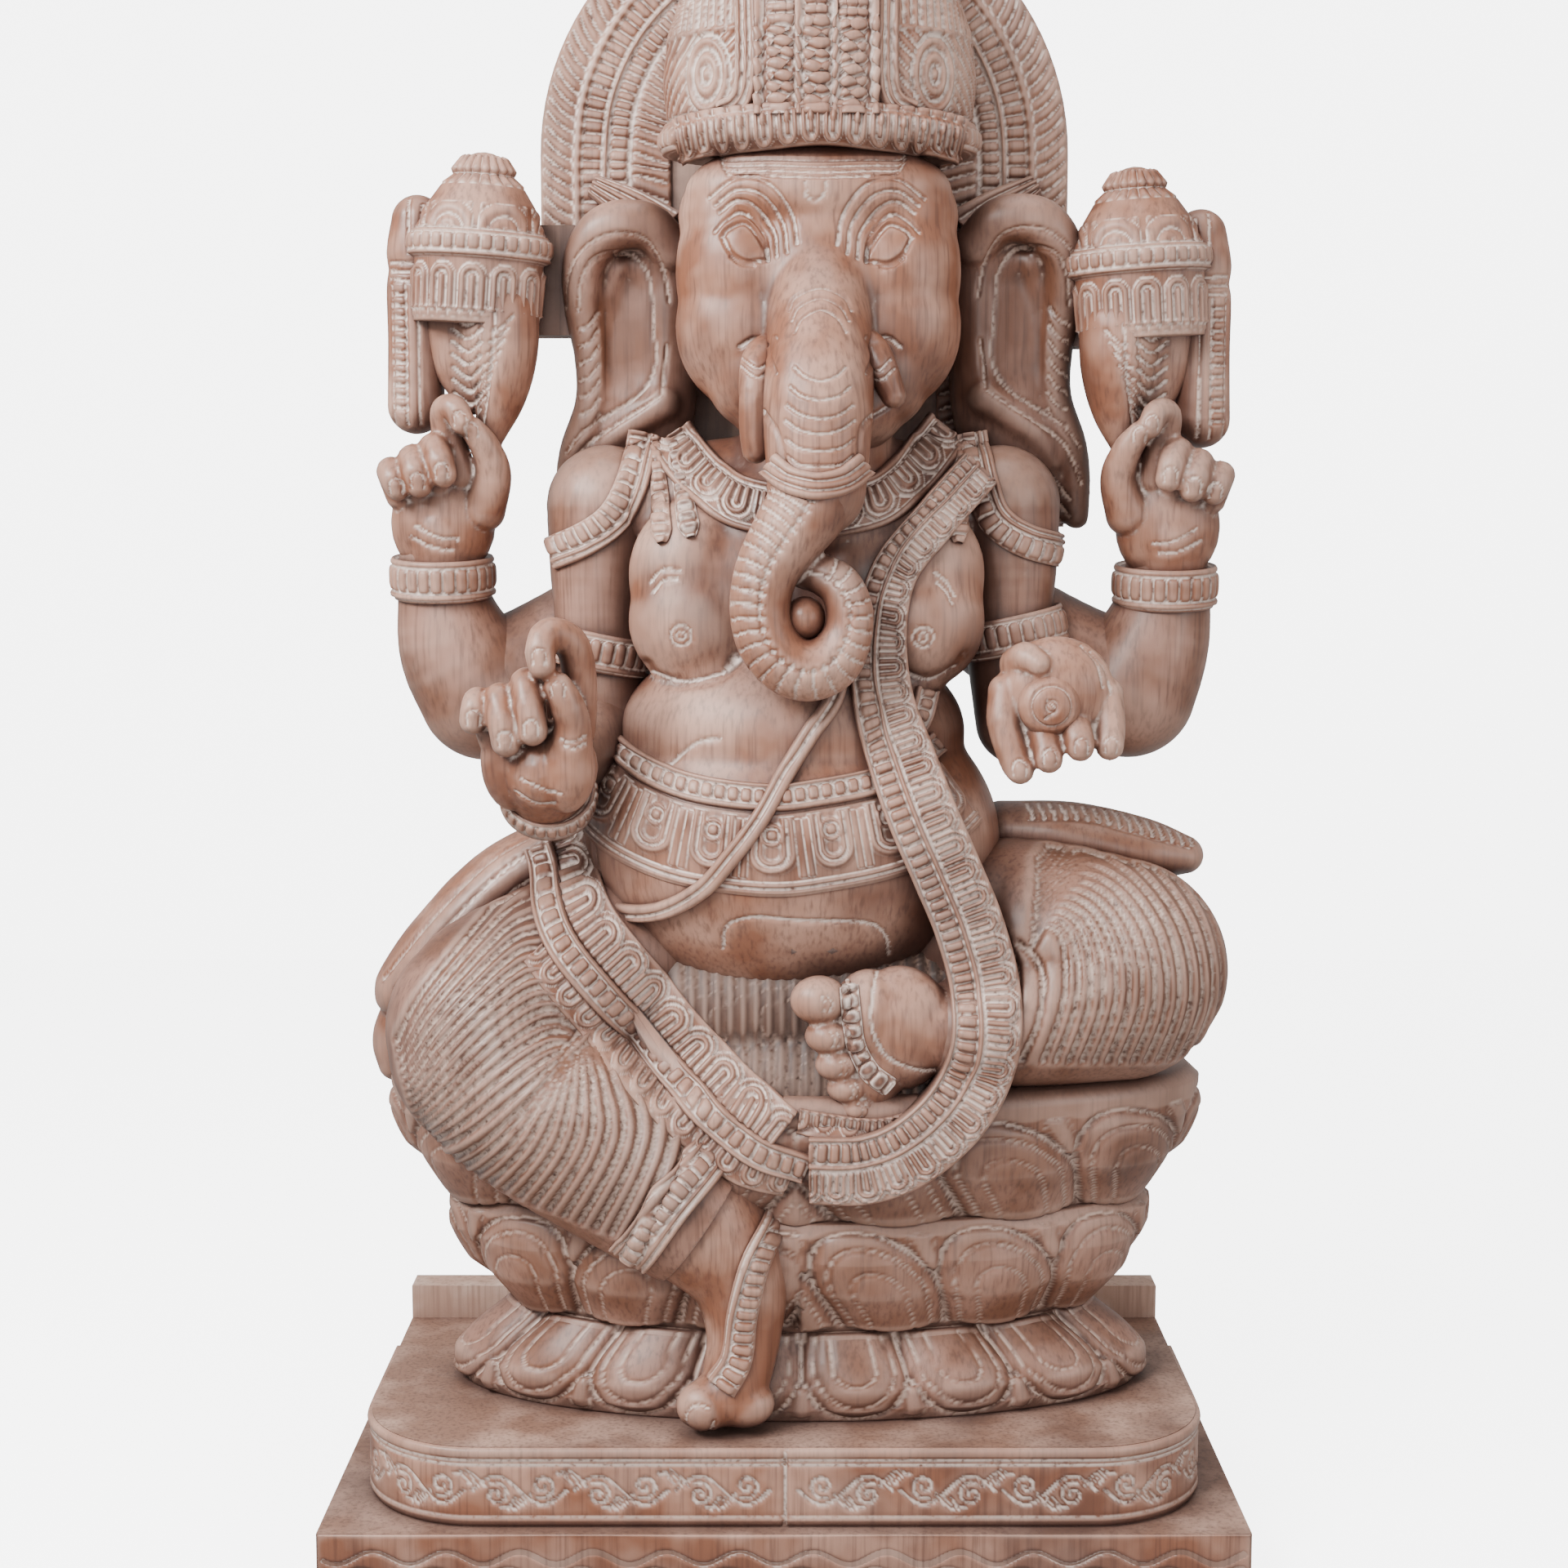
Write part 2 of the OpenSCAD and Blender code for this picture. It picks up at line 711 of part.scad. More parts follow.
base_board();
plinth_block();
plinth_rail();
lotus_foot();
lotus_cup();
lotus_seat();
torso();
navel_plug();
head();
trunk_curl();
trunk_sweet();
right_tusk();
left_tusk();
right_ear();
left_ear();
crown();
crown_finial();
halo_board();
right_bridge();
left_bridge();
right_goad();
left_noose();
right_goad_tassel();
left_noose_tassel();
right_rear_upper_arm();
right_rear_forearm();
right_rear_hand();
left_rear_upper_arm();
left_rear_forearm();
left_rear_hand();
right_front_upper_arm();
right_front_forearm();
right_front_hand();
left_front_upper_arm();
left_front_forearm();
left_front_hand();
modak();
right_leg();
right_foot();
left_leg();
left_foot();
lap_cloth();
right_hip_cloth();
left_hip_cloth();
garland();
base_screws();
plinth_dowels();
lotus_dowels();
seat_dowels();
neck_dowels();
crown_dowels();
halo_screws();
arm_dowels();
leg_dowels();
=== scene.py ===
# %% [markdown]
# # A carved Ganesha in limed wood
# This idol is glued up from blocks of one hardwood, shaped with gouges, and rubbed with lime paste. The
# paste stays white in every cut and the wood shows pinkish brown between them. Each block of the frame gets
# a carved piece of its own. Rounded blocks start as blobs that are fused by a voxel remesh, turned blocks
# are spun from a profile, and the rows of beads and leaves are strips laid on the body under them. All of
# them are then carved by moving their points in along their normals.

# %% Load the frame
import bpy, bmesh, json, math
import numpy as np
from mathutils import Vector, Matrix, Euler
from mathutils.bvhtree import BVHTree
from mathutils.kdtree import KDTree

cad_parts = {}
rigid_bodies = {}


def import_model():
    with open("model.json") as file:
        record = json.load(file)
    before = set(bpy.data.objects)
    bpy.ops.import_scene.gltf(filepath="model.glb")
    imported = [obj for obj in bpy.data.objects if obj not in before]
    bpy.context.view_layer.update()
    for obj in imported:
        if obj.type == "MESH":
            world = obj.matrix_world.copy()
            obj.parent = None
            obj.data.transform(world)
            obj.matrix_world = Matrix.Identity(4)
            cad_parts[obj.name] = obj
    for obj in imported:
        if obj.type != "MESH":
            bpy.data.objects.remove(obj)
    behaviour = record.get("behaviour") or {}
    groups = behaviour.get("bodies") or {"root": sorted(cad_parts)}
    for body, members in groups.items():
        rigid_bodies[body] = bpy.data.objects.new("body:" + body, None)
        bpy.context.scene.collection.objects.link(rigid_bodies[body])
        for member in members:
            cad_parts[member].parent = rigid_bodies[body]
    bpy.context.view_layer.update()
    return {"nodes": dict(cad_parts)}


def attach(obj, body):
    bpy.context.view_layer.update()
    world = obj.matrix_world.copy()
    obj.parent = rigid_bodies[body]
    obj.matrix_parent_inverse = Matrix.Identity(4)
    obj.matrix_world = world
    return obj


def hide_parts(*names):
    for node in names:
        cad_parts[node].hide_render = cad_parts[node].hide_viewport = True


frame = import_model()
MM = 0.001
scene = bpy.context.scene
print("blocks in the frame:", len(frame["nodes"]))

# %% [markdown]
# ## Paths, and the points of a mesh
# Everything below is measured in millimetres, and turned to metres only when it goes into a mesh. A path is
# a smooth curve through a few given points, stepped off evenly like a tape laid along the wood.

# %% Paths and points
def smooth_path(points, step):
    p = np.array(points, float)
    p = np.vstack([2 * p[0] - p[1], p, 2 * p[-1] - p[-2]])
    t = np.linspace(0, 1, 24, endpoint=False)[:, None]
    runs = []
    for a, b, c, d in zip(p, p[1:], p[2:], p[3:]):
        runs.append(b + 0.5 * t * (c - a + t * (2 * a - 5 * b + 4 * c - d + t * (3 * (b - c) + d - a))))
    curve = np.vstack(runs + [p[-2:-1]])
    at = np.r_[0, np.cumsum(np.linalg.norm(np.diff(curve[:, :3], axis=0), axis=1))]
    tape = np.linspace(0, at[-1], max(2, int(round(at[-1] / step)) + 1))
    return np.column_stack([np.interp(tape, at, curve[:, k]) for k in range(curve.shape[1])])


def read(mesh, what="co", size=3, items="vertices"):
    items = getattr(mesh, items)
    out = np.empty(len(items) * size, np.int32 if what == "vertices" else np.float32)
    items.foreach_get(what, out)
    return out.reshape(-1, size).astype(np.int64 if what == "vertices" else float)


def write_points(mesh, mm):
    mesh.vertices.foreach_set("co", (np.asarray(mm) * MM).astype(np.float32).ravel())
    mesh.update()


def ease(x, low, high):
    x = np.clip((x - low) / (high - low), 0, 1)
    return x * x * (3 - 2 * x)


print("a path through three points has", len(smooth_path([(0, 0, 0), (50, 0, 20), (90, 0, 0)], 1)),
      "steps of 1 mm")

# %% [markdown]
# ## The limed wood
# Rain wood is pinkish brown, with darker streaks along its grain and wide stains. Two attributes, measured
# on each carved piece, tell the finish where a point lies in a narrow cut, where the lime stays white, and
# where it lies in a broad hollow, which is darkened as painted shade. Rubbed wax leaves a soft
# shine.

# %% One function for colours, one for nodes
def srgb(code):
    parts = [int(code[i:i + 2], 16) / 255 for i in (1, 3, 5)]
    return tuple(c / 12.92 if c <= 0.04045 else ((c + 0.055) / 1.055) ** 2.4 for c in parts) + (1.0,)


def put(tree, kind, settings, inputs):
    added = tree.nodes.new(kind)
    for key, value in settings.items():
        setattr(added, key, value)
    for key, value in inputs.items():
        if isinstance(value, bpy.types.NodeSocket):
            tree.links.new(value, added.inputs[key])
        else:
            added.inputs[key].default_value = value
    return added


print("mid grey is", round(srgb("#808080")[0], 3), "in linear light")

# %% [markdown]
# ## How the finish is layered
# The wood goes from its rich to its pale colour in blotches. The stain follows the grain and the wide
# patches, painted shade darkens the broad hollows and every place the ambient occlusion finds closed in,
# the ridges turn pale, partly wear and partly a painted highlight, and the lime lies in the cuts, broken
# where it was rubbed.

# %% Limed, rubbed rain wood
def limed_wood(name, pale, rich, stain, lime, shine=0.4):
    material = bpy.data.materials.new(name)
    material.use_nodes = True
    tree = material.node_tree
    tree.nodes.clear()
    place = put(tree, "ShaderNodeTexCoord", {}, {}).outputs["Object"]
    # streaks 3 mm wide and about 80 mm long, up the block
    stretched = put(tree, "ShaderNodeMapping", {}, {"Vector": place, "Scale": (330, 330, 12)}).outputs[0]
    streak = put(tree, "ShaderNodeTexNoise", {}, {"Vector": stretched, "Scale": 1.0,
                                                  "Detail": 3.0}).outputs[0]
    # blotches 60 mm wide
    blotch = put(tree, "ShaderNodeTexNoise", {}, {"Vector": place, "Scale": 16.0, "Detail": 3.0,
                                                  "Roughness": 0.55}).outputs[0]
    # stains 140 mm wide
    wide = put(tree, "ShaderNodeTexNoise", {}, {"Vector": place, "Scale": 7.0, "Detail": 4.0,
                                                "Roughness": 0.6}).outputs[0]
    # specks 4 mm wide, where the lime was rubbed off
    speck = put(tree, "ShaderNodeTexNoise", {}, {"Vector": place, "Scale": 240.0, "Detail": 2.0}).outputs[0]
    cut = put(tree, "ShaderNodeAttribute", {"attribute_name": "cut"}, {}).outputs["Fac"]
    # the hollow value is painted shade: it darkens the broad hollows
    painted_hollow_shade = put(tree, "ShaderNodeAttribute", {"attribute_name": "painted_hollow_shade"}, {}).outputs["Fac"]
    # the worn value lightens the ridges: partly wear, partly a painted highlight
    wear_and_ridge_highlight = put(tree, "ShaderNodeAttribute", {"attribute_name": "wear_and_ridge_highlight"}, {}).outputs["Fac"]
    # ambient occlusion within 60 mm, mixed in below as painted shade
    occlusion_shade = put(tree, "ShaderNodeAmbientOcclusion", {"samples": 5}, {"Distance": 0.06}).outputs["AO"]

    wood = put(tree, "ShaderNodeMapRange", {}, {"Value": blotch, "From Min": 0.42,
                                                "From Max": 0.62}).outputs[0]
    wood = put(tree, "ShaderNodeMix", {"data_type": "RGBA"},
               {"Factor": wood, "A": srgb(rich), "B": srgb(pale)}).outputs["Result"]
    # each layer: what it follows, where it starts and is full, how strong it is, and its colour
    for value, low, high, amount, colour in (
            (streak, 0.42, 0.75, 0.5, stain), (wide, 0.5, 0.7, 0.55, stain),
            # painted shade in the broad hollows; the pale ridges are partly wear and partly a painted
            # highlight
            (wear_and_ridge_highlight, 0.0, 1.0, 0.3, "#D9B6A4"), (painted_hollow_shade, 0.0, 1.0, 0.75, stain),
            # painted shade from the ambient occlusion
            (occlusion_shade, 1.0, 0.25, 0.9, stain), (speck, 0.2, 0.55, 0.85, lime)):
        much = put(tree, "ShaderNodeMapRange", {"interpolation_type": "SMOOTHSTEP"},
                   {"Value": value, "From Min": low, "From Max": high, "To Max": amount}).outputs[0]
        if value is speck:  # the lime is only where the wood was cut
            much = put(tree, "ShaderNodeMath", {"operation": "MULTIPLY"}, {0: much, 1: cut}).outputs[0]
        wood = put(tree, "ShaderNodeMix", {"data_type": "RGBA"},
                   {"Factor": much, "A": wood, "B": srgb(colour)}).outputs["Result"]
    roughness = put(tree, "ShaderNodeMapRange", {}, {"Value": blotch, "From Min": 0.3, "From Max": 0.7,
                                                     "To Min": shine, "To Max": shine + 0.16}).outputs[0]
    grain = put(tree, "ShaderNodeBump", {}, {"Height": streak, "Strength": 0.12,
                                             "Distance": 0.0006}).outputs[0]
    shader = put(tree, "ShaderNodeBsdfPrincipled", {}, {"Base Color": wood, "Roughness": roughness,
                                                        "Normal": grain, "IOR": 1.5})
    put(tree, "ShaderNodeOutputMaterial", {}, {"Surface": shader.outputs[0]})
    return material


rubbed = limed_wood("rain wood, limed and rubbed", "#BE917C", "#935F47", "#4A302A", "#F0DACD", 0.32)
# a darker copy of the wood, its lime darker too: painted shade for the ears, arms, legs and lotus, which
# sit back from the light
shade_darkened_wood = limed_wood("rain wood, rubbed, darkened as painted shade", "#A67B69", "#825743", "#432C26", "#D0B3A3", 0.34)
print("made", rubbed.name, "and", shade_darkened_wood.name)

# %% [markdown]
# ## What is not carved
# The board, the plinth and the lugs are sawn and limed but not rubbed. The plug at the navel took more
# stain, the dowels are bought birch rod, and the screws are zinc plated. These are the frame's own blocks,
# given a finish.

# %% Sawn wood, dowels and screws
sawn = limed_wood("rain wood, sawn and limed", "#BE9A88", "#94705E", "#4A3530", "#E0CCC0", 0.5)
dark = limed_wood("rain wood, stained plug", "#937A70", "#7A6259", "#4E3E3A", "#B9A79C", 0.6)
# a paler copy of the sawn wood for the rail: painted light, to make up for the shade on it
lightened_rail_wood = limed_wood("rain wood, sawn, painted lighter", "#DCC0B0", "#BD9986", "#7A5C50", "#EFE0D6", 0.5)
birch = limed_wood("birch dowel", "#D6BE9C", "#C4A67E", "#9C8060", "#E4D8C4", 0.5)
steel = bpy.data.materials.new("zinc plated steel")
steel.use_nodes = True
metal = steel.node_tree.nodes["Principled BSDF"]
for socket, value in (("Base Color", srgb("#9A9C9E")), ("Metallic", 1.0), ("Roughness", 0.38)):
    metal.inputs[socket].default_value = value
finishes = (("screws", steel), ("dowels", birch), ("plug", dark), ("rail", lightened_rail_wood), ("", sawn))
for node, block in frame["nodes"].items():
    block.data.materials.clear()
    block.data.materials.append(next(finish for word, finish in finishes if word in node))
print("every block of the frame has a finish")

# %% [markdown]
# ## Finishing a carved piece
# The cut and the hollow at each point are how far a smoothed copy of the surface lies above it: three
# passes of averaging with the neighbours fill a narrow cut, and twenty four fill a broad hollow. The hollow
# value darkens the colour as painted shade, and its opposite, the worn value, lightens the ridges, partly
# as wear and partly as a painted highlight.

# %% Measure the cuts and hollows
def mark_cuts(mesh):
    edges = read(mesh, "vertices", 2, "edges")
    here, normal = read(mesh), read(mesh, "normal")
    here = here / MM
    count = np.maximum(np.bincount(edges.ravel(), minlength=len(here)), 1)[:, None]

    def average(values):
        ends = [np.bincount(edges[:, 0], values[edges[:, 1], k], len(here))
                + np.bincount(edges[:, 1], values[edges[:, 0], k], len(here))
                for k in range(values.shape[1])]
        return np.column_stack(ends) / count

    # a broad crease on a coarse block isn't a cut, so the depth is judged against the local edge length
    length = np.linalg.norm(here[edges[:, 0]] - here[edges[:, 1]], axis=1)
    length = sum(np.bincount(edges[:, k], length, len(here)) for k in (0, 1)) / count[:, 0]
    coarse = np.maximum(length / 1.5, 1) ** 1.5
    smooth = here
    narrow, broad = 3, 24  # passes
    depth = {}
    for turn in range(1, broad + 1):
        smooth = 0.5 * smooth + 0.5 * average(smooth)
        if turn in (narrow, broad):
            depth[turn] = ((smooth - here) * normal).sum(1)
    for name, value in (("cut", ease(depth[narrow] / coarse, 0.07, 0.34)),
                        # hollow becomes painted shade, and worn becomes partly wear and partly a painted
                        # highlight
                        ("painted_hollow_shade", ease(depth[broad], 0.12, 1.3)), ("wear_and_ridge_highlight", ease(-depth[broad], 0.1, 1.2))):
        layer = mesh.attributes.new(name, "FLOAT", "POINT")
        layer.data.foreach_set("value", value.astype(np.float32))


def finish_piece(obj, nodes=(), material=None):
    mesh = obj.data
    mesh.polygons.foreach_set("use_smooth", [True] * len(mesh.polygons))
    mark_cuts(mesh)
    mesh.materials.clear()
    mesh.materials.append(material or rubbed)
    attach(obj, "root")
    if nodes:
        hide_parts(*nodes)
    print(f"{obj.name}: {sum(len(p.vertices) - 2 for p in mesh.polygons)} triangles")
    return obj


print("finishing is ready")

# %% [markdown]
# ## Roughing out a rounded block
# A carver takes a block down to a few big rounded masses before any detail. Here the masses are balls and
# tubes that overlap in one mesh. The voxel remesh fuses them into one skin, and the smoothing rubs the
# joins down.

# %% Balls and tubes, fused
def add_ball(bm, centre, radii, turn=(0, 0, 0)):
    radii = (radii,) * 3 if isinstance(radii, (int, float)) else radii
    big = max(radii)
    detail = 2 if big < 12 else 3 if big < 45 else 4 if big < 100 else 5
    place = (Matrix.Translation(Vector(centre) * MM)
             @ Euler([math.radians(a) for a in turn]).to_matrix().to_4x4()
             @ Matrix.Diagonal((radii[0] * MM, radii[1] * MM, radii[2] * MM, 1)))
    bmesh.ops.create_icosphere(bm, subdivisions=detail, radius=1, matrix=place)


def add_tube(bm, stations, flat=(1, 1, 1)):
    thin = min(s[3] for s in stations)
    for x, y, z, r in smooth_path(stations, max(1.0, thin * 0.3)):
        add_ball(bm, (x, y, z), (r * flat[0], r * flat[1], r * flat[2]))


def rough_out(name, balls=(), tubes=(), voxel=2.2, rub=10, cuts=()):
    bm = bmesh.new()
    for ball in balls:
        add_ball(bm, *ball)
    for tube in tubes:
        if len(tube) == 2 and len(tube[1]) == 3 and not hasattr(tube[1][0], "__len__"):
            add_tube(bm, *tube)
        else:
            add_tube(bm, tube)
    mesh = bpy.data.meshes.new(name)
    bm.to_mesh(mesh)
    bm.free()
    obj = bpy.data.objects.new(name, mesh)
    scene.collection.objects.link(obj)
    fused = obj.modifiers.new("fused", "REMESH")
    fused.mode, fused.voxel_size = "VOXEL", voxel * MM
    rubbed_down = obj.modifiers.new("rubbed down", "SMOOTH")
    rubbed_down.factor, rubbed_down.iterations = 0.5, rub
    graph = bpy.context.evaluated_depsgraph_get()
    obj.data = bpy.data.meshes.new_from_object(obj.evaluated_get(graph), depsgraph=graph)
    obj.modifiers.clear()
    for point, outward in cuts:
        bm = bmesh.new()
        bm.from_mesh(obj.data)
        plane = bmesh.ops.bisect_plane(bm, geom=bm.verts[:] + bm.edges[:] + bm.faces[:],
                                       plane_co=Vector(point) * MM, plane_no=outward, clear_outer=True)
        rim = [e for e in plane["geom_cut"] if isinstance(e, bmesh.types.BMEdge)]
        bmesh.ops.holes_fill(bm, edges=rim)
        bm.to_mesh(obj.data)
        bm.free()
    obj.data.update()
    return obj


print("rounded blocks are ready")

# %% [markdown]
# ## Cutting lines with a parting tool
# A line is a smooth path on the front of the figure, seen straight on. Every point of the skin that faces
# forwards and lies within the cut's width goes in along its own normal, deepest in the middle.

# %% The parting tool
def cut_lines(obj, lines, width=3.0, depth=1.4, fine=False):
    mesh = obj.data
    view = np.array((1.0, 0.0, 1.0))  # the tool is seen from the front, so y doesn't count
    steps = [smooth_path([p if len(p) == 3 else (p[0], 0, p[1]) for p in line], 0.7) for line in lines]
    tree = KDTree(sum(len(s) for s in steps))
    every = np.vstack([s[:, :3] * view for s in steps])
    for i, p in enumerate(every):
        tree.insert(Vector(p), i)
    tree.balance()
    if fine:
        bm = bmesh.new()
        bm.from_mesh(mesh)
        close = {v for v in bm.verts
                 if v.normal.y < 0 and tree.find(v.co / MM * Vector(view))[2] < width + 2.5}
        bmesh.ops.subdivide_edges(bm, edges=[e for e in bm.edges if e.verts[0] in close
                                             and e.verts[1] in close],
                                  cuts=1, use_grid_fill=True)
        bm.to_mesh(mesh)
        bm.free()
    here, normal = read(mesh) / MM, read(mesh, "normal")
    low, high = every.min(0) - width, every.max(0) + width
    front = here * view
    seen = -normal[:, 1] > 0.08  # the skin that faces forwards
    for i in np.where(seen & (front >= low).all(1) & (front <= high).all(1))[0]:
        distance = tree.find(front[i])[2]
        if distance < width:
            here[i] -= normal[i] * depth * (1 - (distance / width) ** 2) ** 2
    write_points(mesh, here)
    return obj


print("the parting tool is ready")

# %% [markdown]
# ## Patterns
# The ornament is made of a few patterns that repeat along a band: beads, ribs, hanging U petals one inside
# the other, and leaning feather cuts. Each gives a height in millimetres for a distance s along the band
# and t across it, so one pattern serves on every band, whatever it lies on.

# %% Beads, ribs, petals and feathers
def near(s, pitch):
    return (s + pitch / 2) % pitch - pitch / 2


def within(t, low, high):
    return ((t > low) & (t < high)).astype(float)


def beads(s, t, pitch, at, tall, high):
    body = 1 - np.abs(near(s, pitch) / (0.45 * pitch)) ** 3 - np.abs((t - at) / (tall / 2)) ** 4
    return high * np.sqrt(np.clip(body, 0, 1))


def rib(t, at, width, high):
    return high * np.sqrt(np.clip(1 - ((t - at) / (width / 2)) ** 2, 0, 1))


def petals(s, t, pitch, top, bottom, high, rings=0.62):
    r = pitch / 2
    reach = np.hypot(near(s, pitch), np.clip(t - (bottom - r), 0, None))
    wave = high * (0.5 + 0.5 * np.cos(2 * np.pi * reach / (rings * r)))
    return wave * within(t, top, bottom) * (reach < r)


def feathers(s, t, pitch, lean, bow, high):
    return high * np.abs(np.sin(np.pi * (s + lean * t + bow * t * t) / pitch)) ** 0.7


def gouged(s, t, lines, width, depth):
    steps = np.vstack([smooth_path([(a, b, 0) for a, b in line], 0.8) for line in lines])
    tree = KDTree(len(steps))
    for i, p in enumerate(steps):
        tree.insert(p, i)
    tree.balance()
    s, t = np.broadcast_arrays(s, t)
    away = np.array([tree.find((a, b, 0))[2] for a, b in zip(s.ravel(), t.ravel())]).reshape(s.shape)
    return -depth * np.clip(1 - (away / width) ** 2, 0, 1) ** 2


print("six patterns are ready")

# %% [markdown]
# ## A carved strip laid on the body
# A strip is a grid as long as its path and as wide as its band. It is dropped onto whatever lies under it,
# raised by its pattern along its own normals, and its edges are drawn back into the wood and closed. Rays
# that miss take their depth from their neighbours, and the depths are settled by averaging, so the band
# bends over the hollows as leather would. A strip that floats never goes deeper than its path. With
# view="out" the band looks sideways from its path.

# %% Strips
def strip(name, path, across, relief, hosts=(), view=(0, -1, 0), step=1.2, thick=8, lift=0.6, taper=None,
          floats=False, settle=5):
    line = smooth_path(path, step)[:, :3]
    s = np.arange(len(line)) * step
    ahead = np.gradient(line, axis=0)
    ahead /= np.linalg.norm(ahead, axis=1)[:, None]
    if view == "out":
        look = np.cross(ahead, (0, 0, 1))
    else:
        look = np.tile(np.array(view, float), (len(line), 1))
    look /= np.linalg.norm(look, axis=1)[:, None]
    side = np.cross(ahead, look)
    side /= np.linalg.norm(side, axis=1)[:, None]
    wide = np.linspace(across[0], across[1], max(3, int(round(abs(across[1] - across[0]) / step)) + 1))
    factor = (np.ones(len(line)) if taper is None
              else np.array([taper(f) for f in np.linspace(0, 1, len(line))]))
    place = line[:, None] + side[:, None] * (wide[None, :, None] * factor[:, None, None])
    if hosts:
        trees = []
        for host in hosts:
            bm = bmesh.new()
            bm.from_mesh(host.data)
            trees.append(BVHTree.FromBMesh(bm))
            bm.free()
        above = 100  # mm, clear of every piece
        gone = np.full(place.shape[:2], np.nan)
        for i in range(place.shape[0]):
            back = Vector(-look[i])
            for j in range(place.shape[1]):
                start = Vector((place[i, j] + look[i] * above) * MM)
                found = [tree.ray_cast(start, back, 2 * above * MM)[3] for tree in trees]
                found = [f for f in found if f is not None]
                if found:
                    gone[i, j] = min(found) / MM - above
        if floats:
            gone = np.minimum(gone, 0.0)
        for lines in (gone, gone.T):
            for run in lines:
                known = np.isfinite(run)
                if known.any() and not known.all():
                    run[~known] = np.interp(np.where(~known)[0], np.where(known)[0], run[known])
        gone = np.nan_to_num(gone)
        for _ in range(settle):
            pad = np.pad(gone, 1, mode="edge")
            gone = (2 * gone + pad[:-2, 1:-1] + pad[2:, 1:-1] + pad[1:-1, :-2] + pad[1:-1, 2:]) / 6
        place -= look[:, None] * gone[:, :, None]
    normal = np.cross(np.gradient(place, axis=0), np.gradient(place, axis=1))
    normal /= np.linalg.norm(normal, axis=2)[:, :, None] + 1e-9
    normal *= np.sign((normal * look[:, None]).sum(2))[:, :, None]
    t = np.abs(wide - across[0])
    place = place + normal * (lift + relief(s[:, None], t[None, :]))[:, :, None]
    bm = bmesh.new()
    row = bm.verts.layers.int.new("row")
    bmesh.ops.create_grid(bm, x_segments=place.shape[0] - 1, y_segments=place.shape[1] - 1, size=1)
    for v in bm.verts:
        i = round((v.co.x + 1) / 2 * (place.shape[0] - 1))
        j = round((v.co.y + 1) / 2 * (place.shape[1] - 1))
        v.co = Vector(place[i, j] * MM)
        v[row] = i
    pushed = bmesh.ops.extrude_edge_only(bm, edges=[e for e in bm.edges if e.is_boundary])["geom"]
    for v in pushed:
        if isinstance(v, bmesh.types.BMVert):
            v.co -= Vector(look[v[row]] * thick * MM)
    bmesh.ops.holes_fill(bm, edges=[e for e in pushed if isinstance(e, bmesh.types.BMEdge)
                                    and e.is_boundary])
    bmesh.ops.recalc_face_normals(bm, faces=bm.faces[:])
    mesh = bpy.data.meshes.new(name)
    bm.to_mesh(mesh)
    bm.free()
    mesh.attributes.remove(mesh.attributes["row"])
    obj = bpy.data.objects.new(name, mesh)
    scene.collection.objects.link(obj)
    return obj


def lay(name, path, across, relief, nodes=(), **how):
    return finish_piece(strip(name, path, across, relief, **how), nodes)


print("a strip can be laid on any piece")

# %% [markdown]
# ## A turned and carved block
# Round blocks are spun from half a profile, then squeezed from front to back, because the planks are only
# half as deep as they are wide. The pattern runs round them by the fraction u of the way from the front.

